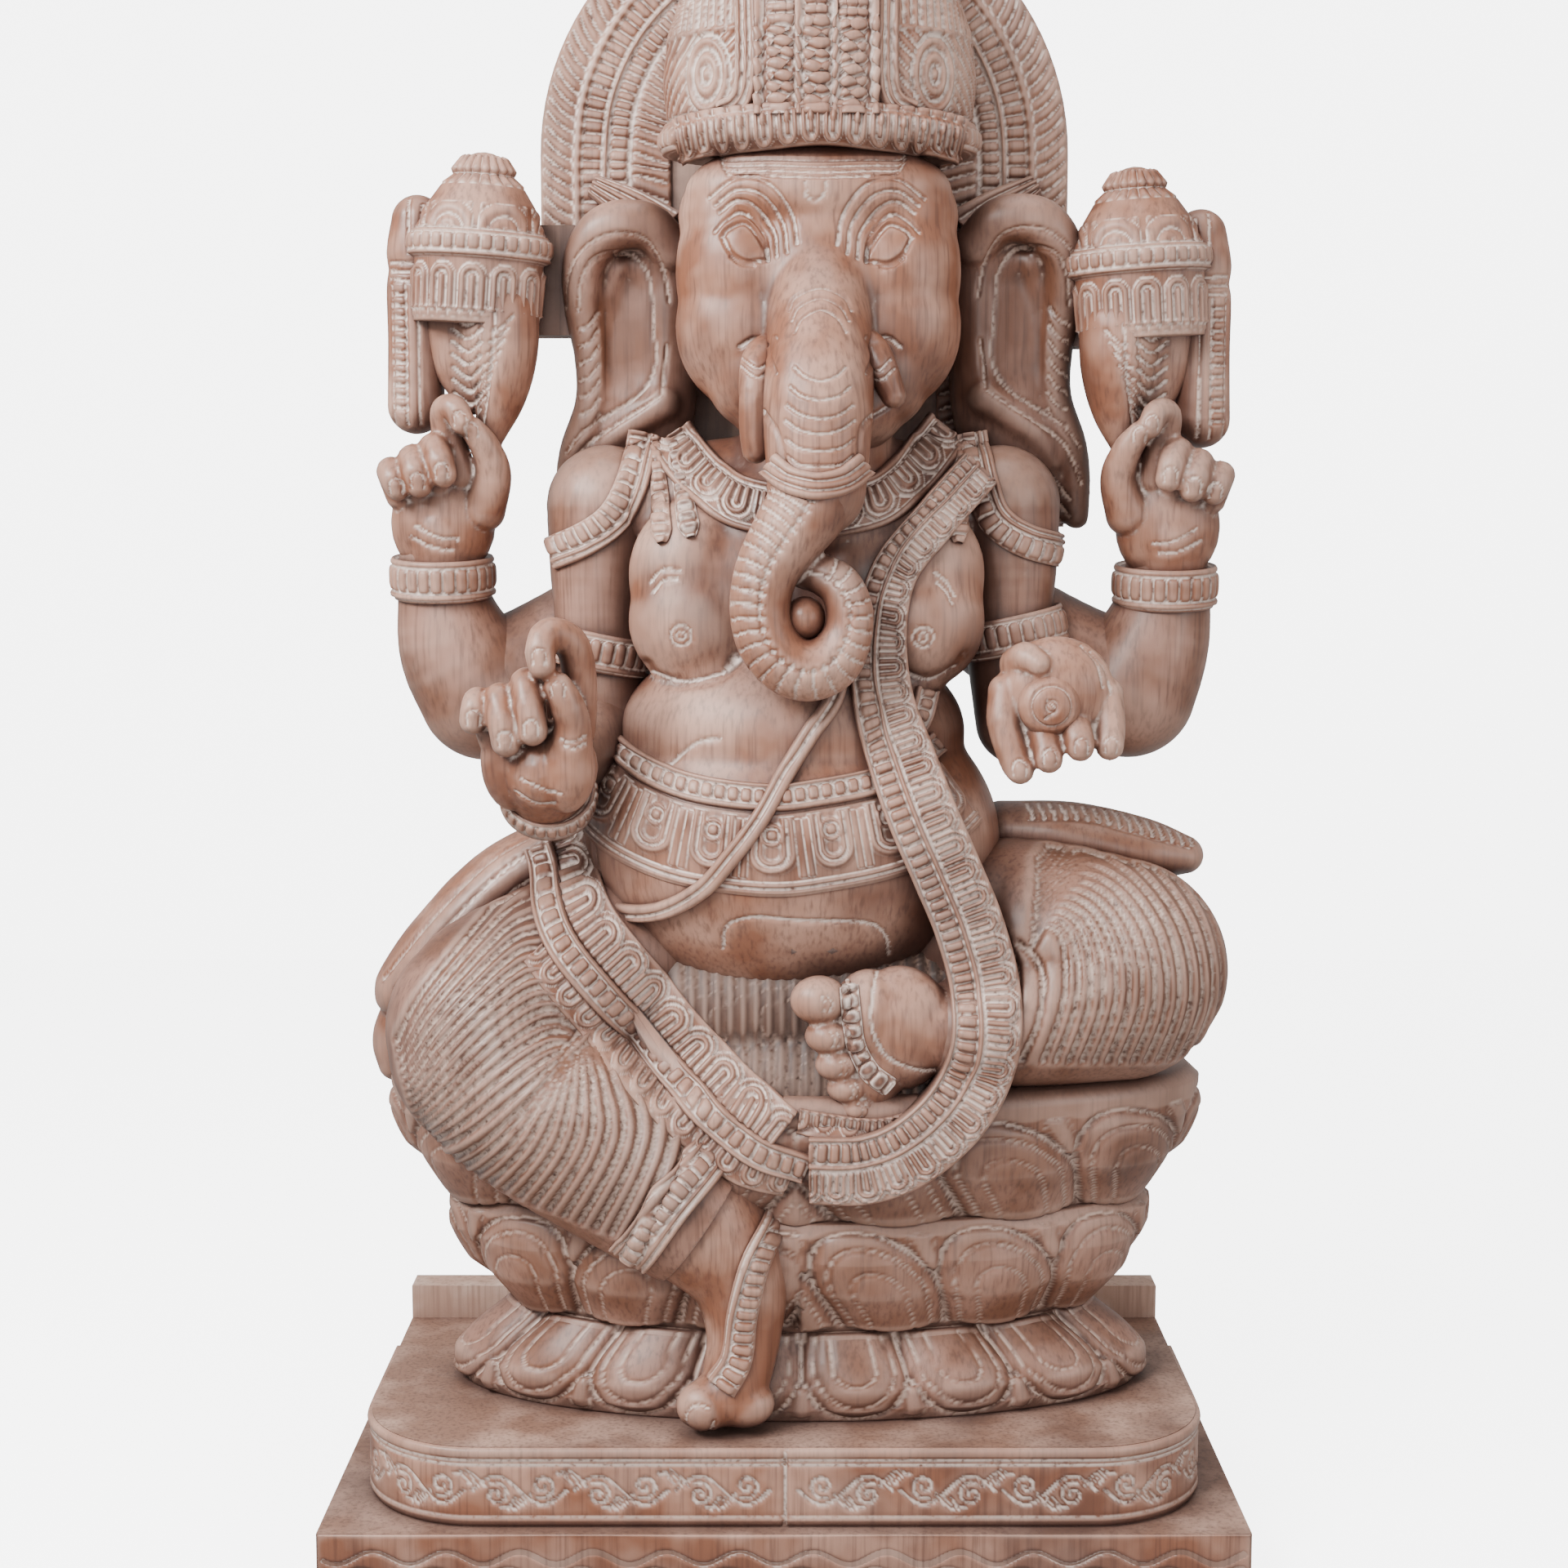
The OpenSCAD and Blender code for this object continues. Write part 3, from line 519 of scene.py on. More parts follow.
# %% Turned blocks
def turned(name, profile, relief=None, steps=240, squeeze=1.0, at=(0, 0, 0), tilt=(0, 0, 0), step=2.0,
           fine=None):
    profile = np.array(profile, float)
    run = np.r_[0, np.cumsum(np.hypot(*np.diff(profile, axis=0).T))]
    low, high = fine or (0, run[-1])
    tape = np.unique(np.r_[np.linspace(low, high, int((high - low) / step) + 2), run])
    tape = tape[np.r_[True, np.diff(tape) > 0.25 * step]]
    rows = np.column_stack([np.interp(tape, run, profile[:, k]) for k in (0, 1)])
    bm = bmesh.new()
    down = bm.verts.layers.float.new("down")
    ring = []
    for (r, z), t in zip(rows, tape):
        v = bm.verts.new((max(r, 0) * MM, 0, z * MM))
        v[down] = t
        ring.append(v)
    edges = [bm.edges.new(pair) for pair in zip(ring, ring[1:])]
    bmesh.ops.spin(bm, geom=ring + edges, cent=(0, 0, 0), axis=(0, 0, 1), angle=math.pi / 6,
                   steps=round(steps / 12))
    sector = bm.verts[:] + bm.edges[:] + bm.faces[:]
    for k in range(1, 12):
        copy = bmesh.ops.duplicate(bm, geom=sector)["geom"]
        bmesh.ops.rotate(bm, verts=[g for g in copy if isinstance(g, bmesh.types.BMVert)], cent=(0, 0, 0),
                         matrix=Matrix.Rotation(k * math.pi / 6, 3, "Z"))
    bmesh.ops.remove_doubles(bm, verts=bm.verts[:], dist=1e-6)
    bmesh.ops.recalc_face_normals(bm, faces=bm.faces[:])
    mesh = bpy.data.meshes.new(name)
    bm.to_mesh(mesh)
    bm.free()
    here = read(mesh) / MM
    here[:, 1] *= squeeze
    write_points(mesh, here)
    if relief:
        t = np.empty(len(here), np.float32)
        mesh.attributes["down"].data.foreach_get("value", t)
        angle = np.linspace(-math.pi, math.pi, 721)
        tape = np.r_[0, np.cumsum(np.hypot(np.diff(np.sin(angle)), squeeze * np.diff(np.cos(angle))))]
        u = np.interp(np.arctan2(here[:, 0], -here[:, 1] / squeeze), angle, tape) / tape[-1] - 0.5
        radius = np.hypot(here[:, 0], here[:, 1] / squeeze)
        s = u * tape[-1] * radius
        here += read(mesh, "normal") * relief(u, t.astype(float), s)[:, None]
    mesh.attributes.remove(mesh.attributes["down"])
    turn = np.array(Euler([math.radians(a) for a in tilt]).to_matrix())
    write_points(mesh, here @ turn.T + np.array(at))
    obj = bpy.data.objects.new(name, mesh)
    scene.collection.objects.link(obj)
    return obj


print("turned blocks are ready")

# %% [markdown]
# ## The camera, the floor and the light
# The figure is seen from just in front of its chest, a little from above, with a lens that is slightly
# long. Large soft lights stand where a portrait studio would put them: a key from the front left, a fill
# from the right, and one overhead.

# %% Camera, floor and lights
eye = bpy.data.objects.new("camera", bpy.data.cameras.new("camera"))
scene.collection.objects.link(eye)
eye.location = (0, -1.791, 0.741)
eye.rotation_euler = (math.radians(90 - 6.48), 0, 0)
eye.data.lens, eye.data.sensor_width = 57.1, 36
scene.camera = eye

bm = bmesh.new()
bmesh.ops.create_grid(bm, x_segments=1, y_segments=1, size=8)
floor_mesh = bpy.data.meshes.new("floor")
bm.to_mesh(floor_mesh)
bm.free()
floor = bpy.data.objects.new("floor", floor_mesh)
scene.collection.objects.link(floor)
plaster = bpy.data.materials.new("white studio floor")
plaster.use_nodes = True
plaster.node_tree.nodes["Principled BSDF"].inputs["Base Color"].default_value = srgb("#F4F4F4")
plaster.node_tree.nodes["Principled BSDF"].inputs["Roughness"].default_value = 0.9
plaster.node_tree.nodes["Principled BSDF"].inputs["Emission Color"].default_value = (1, 1, 1, 1)
plaster.node_tree.nodes["Principled BSDF"].inputs["Emission Strength"].default_value = 5.0
floor_mesh.materials.append(plaster)
wall = bpy.data.objects.new("wall", floor_mesh.copy())
scene.collection.objects.link(wall)
wall.location, wall.rotation_euler = (0, 2.2, 0), (math.radians(90), 0, 0)
for paper in (floor, wall):
    # the paper is lit on its own, and throws no light back on the figure
    paper.visible_diffuse = paper.visible_glossy = False

for name, place, size, watts in (("key", (-1.3, -1.9, 2.1), 0.8, 57), ("fill", (2.2, -1.8, 1.2), 1.6, 22),
                                 ("window", (-1.3, -0.8, 1.65), 0.45, 30),
                                 ("top", (0.0, -0.3, 3.0), 1.6, 24), ("front", (-0.2, -3.0, 1.2), 1.2, 16)):
    lamp = bpy.data.objects.new(name, bpy.data.lights.new(name, "AREA"))
    scene.collection.objects.link(lamp)
    lamp.location = place
    lamp.rotation_euler = (Vector((0, 0, 0.6)) - Vector(place)).to_track_quat("-Z", "Y").to_euler()
    lamp.data.size, lamp.data.energy = size, watts
world = bpy.data.worlds.new("studio")
world.use_nodes = True
world.node_tree.nodes["Background"].inputs["Color"].default_value = (1, 1, 1, 1)
world.node_tree.nodes["Background"].inputs["Strength"].default_value = 0.48
scene.world = world
print("camera at", tuple(round(v, 3) for v in eye.location))

# %% [markdown]
# ## The torso
# The belly, the two breasts and the shoulders are the big masses. The creases, the belly line and the
# nipples are cut afterwards, and the ornament is laid on further down, when the arms and the legs are there
# too.

# %% Torso
def between(a, b, count):
    a, b = np.array(a, float), np.array(b, float)
    return [[(x, 0, z) for x, z in a + (b - a) * f] for f in np.linspace(0, 1, count)]


def ring(x, z, rx, rz, count=14):
    return [(x + rx * math.cos(a), 0, z + rz * math.sin(a)) for a in np.linspace(0, 2 * math.pi, count)]


torso = rough_out("carved_torso", balls=[
    ((5, -10, 497), (151, 112, 120)), ((5, 28, 382), (158, 92, 80)), ((6, -12, 578), (124, 92, 72)),
    ((16, 12, 677), (122, 72, 94)), ((-60, -42, 658), (50, 36, 50)), ((92, -42, 658), (50, 36, 50)),
    ((-62, -36, 690), (48, 36, 54)), ((94, -36, 690), (48, 36, 54)), ((-26, -40, 680), (44, 34, 56)),
    ((60, -40, 680), (44, 34, 56)), ((16, -16, 730), (92, 56, 40)), ((-2, -60, 630), (27, 20, 17))],
    tubes=[[(-112, 18, 738, 40), (16, 10, 745, 46), (142, 18, 738, 40)],
           [(22, -6, 735, 56), (24, -12, 810, 52)]],
    voxel=3.4, rub=26)
cut_lines(torso, [[(-42, 435), (-39, 452), (-20, 459), (8, 457), (56, 454), (70, 443), (73, 429)],
                  [(-78, 561), (-60, 576), (-44, 580)], [(-128, 470), (-134, 500), (-128, 520)]],
          width=2.6, depth=1.5, fine=True)
cut_lines(torso, [[(-96, 628), (-88, 619), (-68, 616), (-45, 621), (-34, 632)],
                  [(72, 632), (84, 621), (101, 618), (118, 625), (126, 634)]], width=7, depth=2.5)
cut_lines(torso, [[(-92, 622), (-68, 617), (-42, 623)], [(80, 625), (101, 618), (120, 627)],
                  ring(-71, 649, 7, 7), ring(-71, 649, 3, 3), ring(96, 648, 7, 7), ring(96, 648, 3, 3),
                  [(-92, 686), (-84, 694), (-72, 694)], [(-90, 679), (-83, 687), (-74, 688)],
                  [(104, 692), (112, 686), (118, 676)], [(106, 685), (112, 679), (116, 671)]],
          width=2.0, depth=1.3, fine=True)
finish_piece(torso, ["torso"])

# %% [markdown]
# ## The head
# An elephant's face is broad and nearly flat in front, so two tall masses stand side by side under a level
# brow, and the trunk grows out between them. The eyes, the brows, the lines on the forehead and the creases
# across the trunk are cut with the parting tool.

# %% Head
head = rough_out("carved_head", balls=[
    ((24, 10, 905), (98, 78, 84)), ((-26, -22, 900), (50, 52, 70)), ((74, -22, 900), (50, 52, 70)),
    ((24, -33, 953), (93, 46, 38)), ((-30, -20, 938), (44, 46, 38)), ((78, -20, 938), (44, 46, 38)),
    ((-26, -28, 862), (50, 46, 58)), ((74, -28, 862), (50, 46, 58)), ((-20, -36, 832), (36, 38, 42)),
    ((68, -36, 832), (36, 38, 42)), ((24, -36, 808), (62, 46, 40)), ((24, -44, 890), (60, 36, 80))],
    tubes=[[(24, -42, 912, 30), (24, -62, 880, 34), (24, -82, 845, 37), (23, -100, 805, 38),
            (22, -107, 750, 34)]],
    voxel=2.3, rub=19)
for x, way in ((-27, 1), (72, -1)):
    z = 915 if way > 0 else 914
    outline = [(-15, 5), (-11, 10), (0, 14), (9, 6), (16, -9), (8, -12), (0, -12), (-9, -6), (-15, 5)]
    cut_lines(head, [[(x + way * a, z + b) for a, b in outline]], width=3.0, depth=2.2, fine=True)
    lids = [[(16, -11), (14, 4), (6, 16), (-3, 21), (-13, 16), (-20, 9)],
            [(22, -9), (20, 8), (8, 24), (-5, 29), (-17, 22)],
            [(29, -6), (26, 14), (12, 32), (-5, 36), (-20, 27)],
            [(36, 0), (32, 20), (16, 40), (-5, 44), (-24, 32)], [(-9, -9), (-2, -14), (6, -15)]]
    cut_lines(head, [[(x + way * a, z + b) for a, b in lid] for lid in lids], width=2.4, depth=1.6,
              fine=True)
brow = [[(-44 + k, z + 7), (-39 + k, z + 1), (-10, z), (24, z - 1.5), (60, z), (79 - k, z + 1),
         (84 - k, z + 7)]
        for k, z in ((0, 972), (1, 967.5), (2, 963.5), (4, 960))]
cut_lines(head, brow, width=2.2, depth=1.6, fine=True)
cut_lines(head, [[(14, 955), (15, 947), (21, 943), (27, 947), (28, 955)]], width=2.2, depth=1.5)
arches = [[(3 + k, low), (8 + k, low + 9), (24.5, low + 15), (40 - k, low + 9), (45.6 - k, low)]
          for k, low in ((0, 868), (2, 861), (4, 853))]
creases = [[(24 - wide, top), (24 - 0.6 * wide, top - 6), (24, top - drop), (24 + 0.6 * wide, top - 6),
            (24 + wide, top)] for wide, top, drop in ((17, 829, 9), (20, 816, 8.5), (22, 804, 9),
                                                      (23, 794, 9), (23, 782, 8), (22, 771, 7))]
cut_lines(head, arches + creases, width=2.0, depth=1.3, fine=True)
cheeks = [[(-6, 850), (-10, 838), (-6, 826)], [(56, 850), (60, 838), (56, 826)],
          [(-30, 846), (-20, 851), (-12, 846)], [(60, 848), (70, 852), (79, 846)],
          [(-14, 801), (-4, 785), (1, 763)], [(75, 808), (52, 790), (51, 757)]]
cut_lines(head, cheeks, width=2.8, depth=1.8, fine=True)
finish_piece(head, ["head"])

# %% [markdown]
# ## The trunk, its sweet, and the tusks
# The trunk turns to the figure's right, comes back under itself and curls round a sweet. Short strokes
# cross its outer side all the way round. One tusk is whole and the other is broken off short, as the story
# of Ganesha has it.

# %% Trunk, sweet and tusks
trunk_line = [(22, -110, 752, 31), (14, -116, 735, 28), (2, -120, 718, 25), (-11, -122, 696, 22),
              (-16, -122, 672, 21), (-12, -122, 650, 21), (0, -122, 634, 21), (16, -122, 628, 21),
              (32, -122, 634, 20), (42, -122, 650, 17), (44, -121, 668, 16), (38, -118, 684, 15),
              (26, -113, 692, 14), (14, -108, 694, 12)]
trunk = rough_out("carved_trunk_curl", tubes=[trunk_line], voxel=1.7, rub=4)
axis = smooth_path(trunk_line, 1.0)
strokes = []
for k in range(10, len(axis) - 14, 8):
    ahead = axis[k + 1, :3] - axis[k - 1, :3]
    ahead /= np.linalg.norm(ahead)
    out = np.array([-ahead[2], 0, ahead[0]]) * -1
    r = axis[k, 3]
    strokes.append([tuple(axis[k, :3] + out * r * f + ahead * (4 * (f - 0.5) ** 2))
                    for f in (-0.1, 0.35, 0.7, 1.02)])
cut_lines(trunk, strokes, width=2.3, depth=1.5)
inner = [tuple(p[:3]) for p in axis[8::10]]
cut_lines(trunk, [inner], width=2.4, depth=1.2)
finish_piece(trunk, ["trunk_curl"])

sweet = rough_out("carved_trunk_sweet", balls=[((14, -116, 663), (14, 16, 15))], voxel=1.2, rub=2)
finish_piece(sweet, ["trunk_sweet"])
tusk = rough_out("carved_right_tusk", tubes=[[(-8, -70, 848, 10), (-16, -84, 836, 13), (-19, -92, 815, 12),
                                              (-20, -94, 790, 11), (-19, -94, 776, 10)]], voxel=1.2, rub=3)
cut_lines(tusk, [[(-30, 838), (-18, 830), (-6, 836)], [(-30, 832), (-18, 824), (-6, 830)]], 2.0, 1.2)
finish_piece(tusk, ["right_tusk"])
tusk = rough_out("carved_left_tusk", tubes=[[(54, -74, 850, 10), (60, -84, 842, 12), (67, -90, 828, 11),
                                             (74, -92, 812, 9)]], voxel=1.2, rub=3)
cut_lines(tusk, [[(50, 832), (62, 828), (72, 836)], [(52, 826), (64, 822), (75, 830)]], 2.0, 1.2)
finish_piece(tusk, ["left_tusk"])

# %% [markdown]
# ## The ears
# Each ear is a wide flap with a thick rim. The bowl of the ear is hollowed out first, and then the lines
# that follow the rim are cut, with short strokes at the outer edge.

# %% Ears
def ear(name, node, x0=0.0, way=1, up=0.0):
    def there(points):
        return [(x0 + way * x, y, z + up, *rest) for x, y, z, *rest in points]
    rim = [(-80, 22, 920, 16), (-98, 14, 936, 17), (-125, 12, 934, 18), (-142, 18, 914, 16),
           (-144, 26, 882, 15), (-138, 30, 846, 14), (-138, 34, 812, 14), (-150, 40, 778, 14),
           (-156, 46, 752, 12), (-158, 50, 726, 10)]
    bowl = [(-96, 34, 900, 34), (-100, 36, 850, 38), (-104, 40, 806, 40), (-118, 48, 768, 38),
            (-124, 56, 738, 30)]
    lobe = [(-88, 26, 812, 14), (-104, 28, 800, 13), (-124, 32, 786, 12), (-140, 38, 768, 11)]
    wall = [(-118, 30, 905, 14), (-124, 36, 880, 16), (-122, 38, 850, 16), (-122, 42, 815, 16),
            (-136, 48, 780, 14)]
    piece = rough_out(name, tubes=[(there(bowl), (1, 0.5, 1)), there(rim), there(lobe), there(wall)],
                      voxel=2.1, rub=14)
    cut_lines(piece, [there([(-106, 0, 890), (-106, 0, 860), (-108, 0, 836)])], width=26, depth=5)
    rims = [[(-157, 879), (-155, 898), (-145, 916), (-128, 927), (-110, 929), (-96, 923), (-86, 905),
             (-82, 884)],
            [(-147, 877), (-144, 898), (-135, 912), (-118, 917), (-106, 914), (-96, 898), (-94, 868),
             (-92, 843), (-98, 825), (-110, 813), (-132, 800), (-148, 788), (-158, 776)],
            [(-88, 817), (-103, 807), (-123, 795), (-143, 781), (-154, 764), (-160, 750)],
            [(-84, 852), (-86, 836), (-88, 817)]]
    rims += [[(-147, 863 - k), (-139, 867 - k), (-133, 875 - k)] for k in range(0, 84, 12)]
    rims += [[(-128, 762 - k), (-140, 752 - k), (-152, 738 - k)] for k in (0, 12, 24)]
    cut_lines(piece, [there([(x, 0, z) for x, z in line]) for line in rims], width=2.4, depth=1.6)
    return finish_piece(piece, [node], shade_darkened_wood)


ear("carved_right_ear", "right_ear")
ear("carved_left_ear", "left_ear", x0=57, way=-1, up=4)

# %% [markdown]
# ## Arms and legs
# Each arm is cut from two blocks that meet at the elbow. The legs wear a cloth that is pulled into pleats,
# which run from a crease on the knee round to its back. The pleats are wide flutes with a sharp line at the
# bottom.

# %% Arms
for side, name, stations in (
        ("right", "rear_upper_arm", [(-130, 46, 650, 44), (-180, 40, 620, 47), (-218, 30, 602, 49)]),
        ("right", "rear_forearm", [(-218, 30, 602, 50), (-238, 24, 634, 43), (-247, 20, 668, 34),
                                   (-250, 16, 700, 29)]),
        ("left", "rear_upper_arm", [(160, 46, 650, 44), (212, 40, 620, 47), (252, 30, 604, 49)]),
        ("left", "rear_forearm", [(252, 30, 604, 50), (268, 24, 636, 42), (276, 20, 668, 34),
                                  (277, 16, 700, 29)]),
        ("right", "front_upper_arm", [(-128, 18, 738, 44), (-132, 12, 700, 38), (-133, 8, 650, 33),
                                      (-132, 4, 584, 33)]),
        ("right", "front_forearm", [(-132, 4, 584, 32), (-150, -42, 560, 27), (-166, -78, 540, 22)]),
        ("left", "front_upper_arm", [(156, 18, 738, 44), (160, 12, 700, 38), (162, 8, 650, 33),
                                     (172, 4, 584, 34)]),
        ("left", "front_forearm", [(172, 4, 584, 33), (182, -34, 592, 28), (187, -72, 604, 25)])):
    arm = rough_out(f"carved_{side}_{name}", tubes=[stations], voxel=3.0, rub=5)
    finish_piece(arm, [f"{side}_{name}"], shade_darkened_wood)

# %% [markdown]
# ## Legs in pleated cloth
# Each leg is a thick thigh folded back at the knee. The pleats are lines drawn evenly between a first and a
# last one, cut twice: first wide for the flute, then narrow for the sharp line at its bottom.

# %% Legs
leg = rough_out("carved_right_leg", tubes=[
    [(-90, 0, 430, 68), (-150, -34, 405, 72), (-206, -60, 376, 73), (-196, -66, 345, 74),
     (-160, -74, 318, 72), (-124, -80, 290, 65), (-80, -90, 255, 54), (-58, -93, 240, 49)]], voxel=2.3,
     rub=7,
    cuts=[((-58, -93, 240), (0.82, 0, -0.57))])
knee = between([(-180, 475), (-199, 463), (-224, 436), (-250, 404), (-268, 370)],
               [(-138, 379), (-159, 388), (-185, 377), (-216, 350), (-254, 310)], 11)
knee += between([(-140, 376), (-160, 380), (-185, 368), (-216, 342), (-254, 303)],
                [(-148, 366), (-163, 356), (-185, 338), (-216, 312), (-248, 288)], 4)
shin = between([(-153, 360), (-180, 331), (-210, 303), (-240, 279)],
               [(-121, 381), (-88, 355), (-66, 312), (-96, 236)], 14)
cut_lines(leg, knee + shin, width=5.0, depth=3.2)
cut_lines(leg, knee + shin, width=2.4, depth=1.3)
cut_lines(leg, [[(-152, 369), (-137, 380), (-121, 387)]], width=2.0, depth=1.6)
finish_piece(leg, ["right_leg"], shade_darkened_wood)
leg = rough_out("carved_left_leg", tubes=[
    [(110, 0, 430, 68), (180, -30, 425, 76), (236, -42, 410, 80)],
    [(236, -42, 410, 80), (180, -70, 386, 54), (124, -88, 374, 38)]], voxel=2.3, rub=7,
    cuts=[((0, 0, 332.5), (0, 0, -1))])
top = between([(170, 436), (180, 450), (190, 444), (193, 424), (190, 398), (178, 360)],
              [(178, 492), (218, 513), (262, 501), (296, 461), (308, 405), (298, 352)], 14)
shin = between([(150, 446), (157, 430), (160, 414), (158, 396), (154, 378), (146, 362)],
               [(161, 438), (170, 432), (176, 422), (177, 408), (173, 386), (163, 361)], 2)
cut_lines(leg, top + shin, width=5.0, depth=3.2)
cut_lines(leg, top + shin, width=2.4, depth=1.3)
finish_piece(leg, ["left_leg"], shade_darkened_wood)

# %% [markdown]
# ## Hands
# The front right hand blesses, with its first finger up and its thumb against it. The front left hand holds
# a sweet in its palm. The two rear hands pinch the stems of what they carry. Each finger is a tapering
# tube, fused to the palm, with its nail and its knuckle lines cut in.

# %% Hands
def nail(x, z, r=4.5):
    return [[(x - r, z - r), (x - r, z + r * 0.6), (x, z + r * 1.3), (x + r, z + r * 0.6), (x + r, z - r)]]


def hand(name, node, palm, digits, nails=(), folds=(), voxel=1.7, rub=3):
    piece = rough_out(name, balls=palm, tubes=digits, voxel=voxel, rub=rub)
    marks = [line for x, z in nails for line in nail(x, z)] + [fold for fold in folds]
    if marks:
        cut_lines(piece, marks, width=1.9, depth=1.3)
    return finish_piece(piece, [node])


hand("carved_right_front_hand", "right_front_hand",
     [((-165, -96, 560), (38, 20, 34)), ((-186, -98, 566), (22, 17, 36)),
      ((-148, -110, 560), (20, 18, 30))],
     [[(-165, -78, 538, 26), (-164, -96, 556, 30)],
      [(-140, -98, 585, 12), (-139, -102, 620, 12), (-144, -108, 645, 12), (-158, -118, 652, 12),
       (-163, -126, 642, 11), (-162, -128, 632, 10)],
      [(-148, -108, 560, 19), (-143, -116, 588, 13), (-146, -120, 604, 12), (-152, -124, 618, 10)],
      [(-172, -104, 585, 12), (-174, -112, 618, 12), (-172, -124, 605, 11), (-169, -126, 588, 11)],
      [(-186, -104, 580, 12), (-192, -112, 608, 12), (-190, -122, 596, 11), (-187, -122, 580, 11)],
      [(-198, -102, 580, 11), (-206, -108, 605, 11), (-209, -116, 602, 10), (-210, -116, 594, 10)]],
     nails=[(-163, 638), (-151, 616), (-169, 590), (-187, 582), (-209, 596)],
     folds=[[(-178, 555), (-162, 548), (-150, 545)], [(-182, 546), (-168, 538), (-155, 538)],
            [(-150, 582), (-142, 580), (-134, 584)], [(-148, 578), (-141, 576), (-134, 579)]])
hand("carved_left_front_hand", "left_front_hand", [((186, -94, 612), (40, 26, 38))],
     [[(187, -72, 604, 26), (187, -90, 608, 30)],
      [(152, -96, 612, 13), (150, -104, 590, 12), (157, -112, 566, 11), (160, -116, 560, 10)],
      [(176, -104, 590, 12), (178, -114, 576, 11), (179, -120, 568, 10)],
      [(196, -104, 594, 12), (199, -116, 582, 11), (200, -120, 576, 10)],
      [(220, -96, 610, 12), (222, -104, 590, 11), (221, -112, 576, 10)],
      [(160, -92, 630, 13), (164, -106, 636, 11), (172, -114, 632, 9)]],
     nails=[(159, 562), (179, 570), (200, 577), (221, 577)],
     folds=[[(208, 640), (218, 628), (222, 612)], [(202, 644), (212, 632), (216, 616)]])
palm = [((-245, 8, 726), (38, 24, 42))]
digits = [[(-247, 12, 700, 27), (-246, 10, 720, 28)],
          [(-232, 0, 760, 13), (-238, -6, 785, 12), (-240, -12, 804, 11), (-232, -20, 806, 10),
           (-226, -24, 796, 9)],
          [(-215, 0, 735, 16), (-207, -6, 760, 13), (-212, -14, 780, 11), (-220, -20, 792, 9)],
          [(-246, -4, 755, 12), (-248, -12, 778, 12), (-243, -24, 770, 11), (-240, -26, 760, 10)],
          [(-260, -4, 750, 12), (-263, -12, 770, 12), (-260, -24, 762, 11), (-257, -24, 753, 10)],
          [(-274, -2, 745, 11), (-279, -10, 762, 11), (-276, -20, 757, 10), (-273, -20, 750, 9)]]
nails = [(-227, 798), (-219, 790), (-240, 762), (-257, 755), (-273, 751)]
folds = [[(-262, 724), (-246, 716), (-232, 714)], [(-266, 716), (-248, 708), (-236, 707)]]
hand("carved_right_rear_hand", "right_rear_hand", palm, digits, nails, folds)
hand("carved_left_rear_hand", "left_rear_hand", [((31 - x, y, z - 3), r) for (x, y, z), r in palm],
     [[(31 - x, y, z - 3, r) for x, y, z, r in digit] for digit in digits],
     [(31 - x, z - 3) for x, z in nails], [[(31 - x, z - 3) for x, z in fold] for fold in folds])
sweet = rough_out("carved_modak", balls=[((180, -112, 604), (22, 15, 22))], voxel=1.1, rub=2)
cut_lines(sweet, [ring(180, 604, 14, 14, 20), ring(180, 604, 4, 4, 10),
                  [(176, 596), (183, 602), (177, 608)]], 2.0, 1.5)
finish_piece(sweet, ["modak"])

# %% [markdown]
# ## Feet
# The right foot hangs down with its toes on the lotus. The left foot is tucked in across the lap and shows
# its sole, with the toes in a row.

# %% Feet
foot = rough_out("carved_right_foot", balls=[((-55, -126, 118), (20, 17, 18)),
                                             ((-42, -122, 122), (26, 18, 20)),
                                             ((-28, -121, 118), (22, 18, 17))],
    tubes=[[(-80, -88, 258, 47), (-58, -92, 238, 46), (-33, -97, 206, 36), (-28, -104, 165, 27),
            (-34, -114, 130, 24)]],
    voxel=2.0, rub=9)
cut_lines(foot, [ring(-58, 112, 10, 12)[2:], [(-72, 178), (-64, 174), (-58, 178)],
                 [(-70, 172), (-62, 169), (-57, 172)]], width=2.4, depth=1.5)
finish_piece(foot, ["right_foot"])
toes = [((24, -116, 402), (20, 17, 17)), ((30, -116, 377), (16, 15, 12.5)),
        ((36, -115, 357), (15, 14, 11.5)), ((43, -113, 340), (14, 13, 10.5)),
        ((50, -110, 325), (13, 12, 9.5))]
foot = rough_out("carved_left_foot", balls=[((80, -104, 380), (38, 20, 44)),
                                            ((58, -106, 388), (26, 19, 34)),
    ((62, -104, 350), (22, 18, 26))] + toes, tubes=[[(80, -96, 380, 26), (124, -88, 374, 36)]], voxel=1.8,
    rub=3)
knuckles = [[(x + 2, z + 5), (x + 5, z), (x + 3, z - 5)] for (x, y, z), r in toes]
knuckles += [[(x + 6, z + 5), (x + 9, z), (x + 7, z - 5)] for (x, y, z), r in toes]
cut_lines(foot, [k for k in knuckles], width=1.9, depth=1.1)
cut_lines(foot, [[(64, 422), (60, 404), (60, 384), (70, 364), (90, 354), (106, 352)]], width=2.6, depth=1.6)
finish_piece(foot, ["left_foot"])

# %% [markdown]
# ## The cloths
# Between the legs the cloth hangs in narrow straight pleats. At each hip a thick fold of it flares out
# behind the leg, with a row of ribs along its edge.

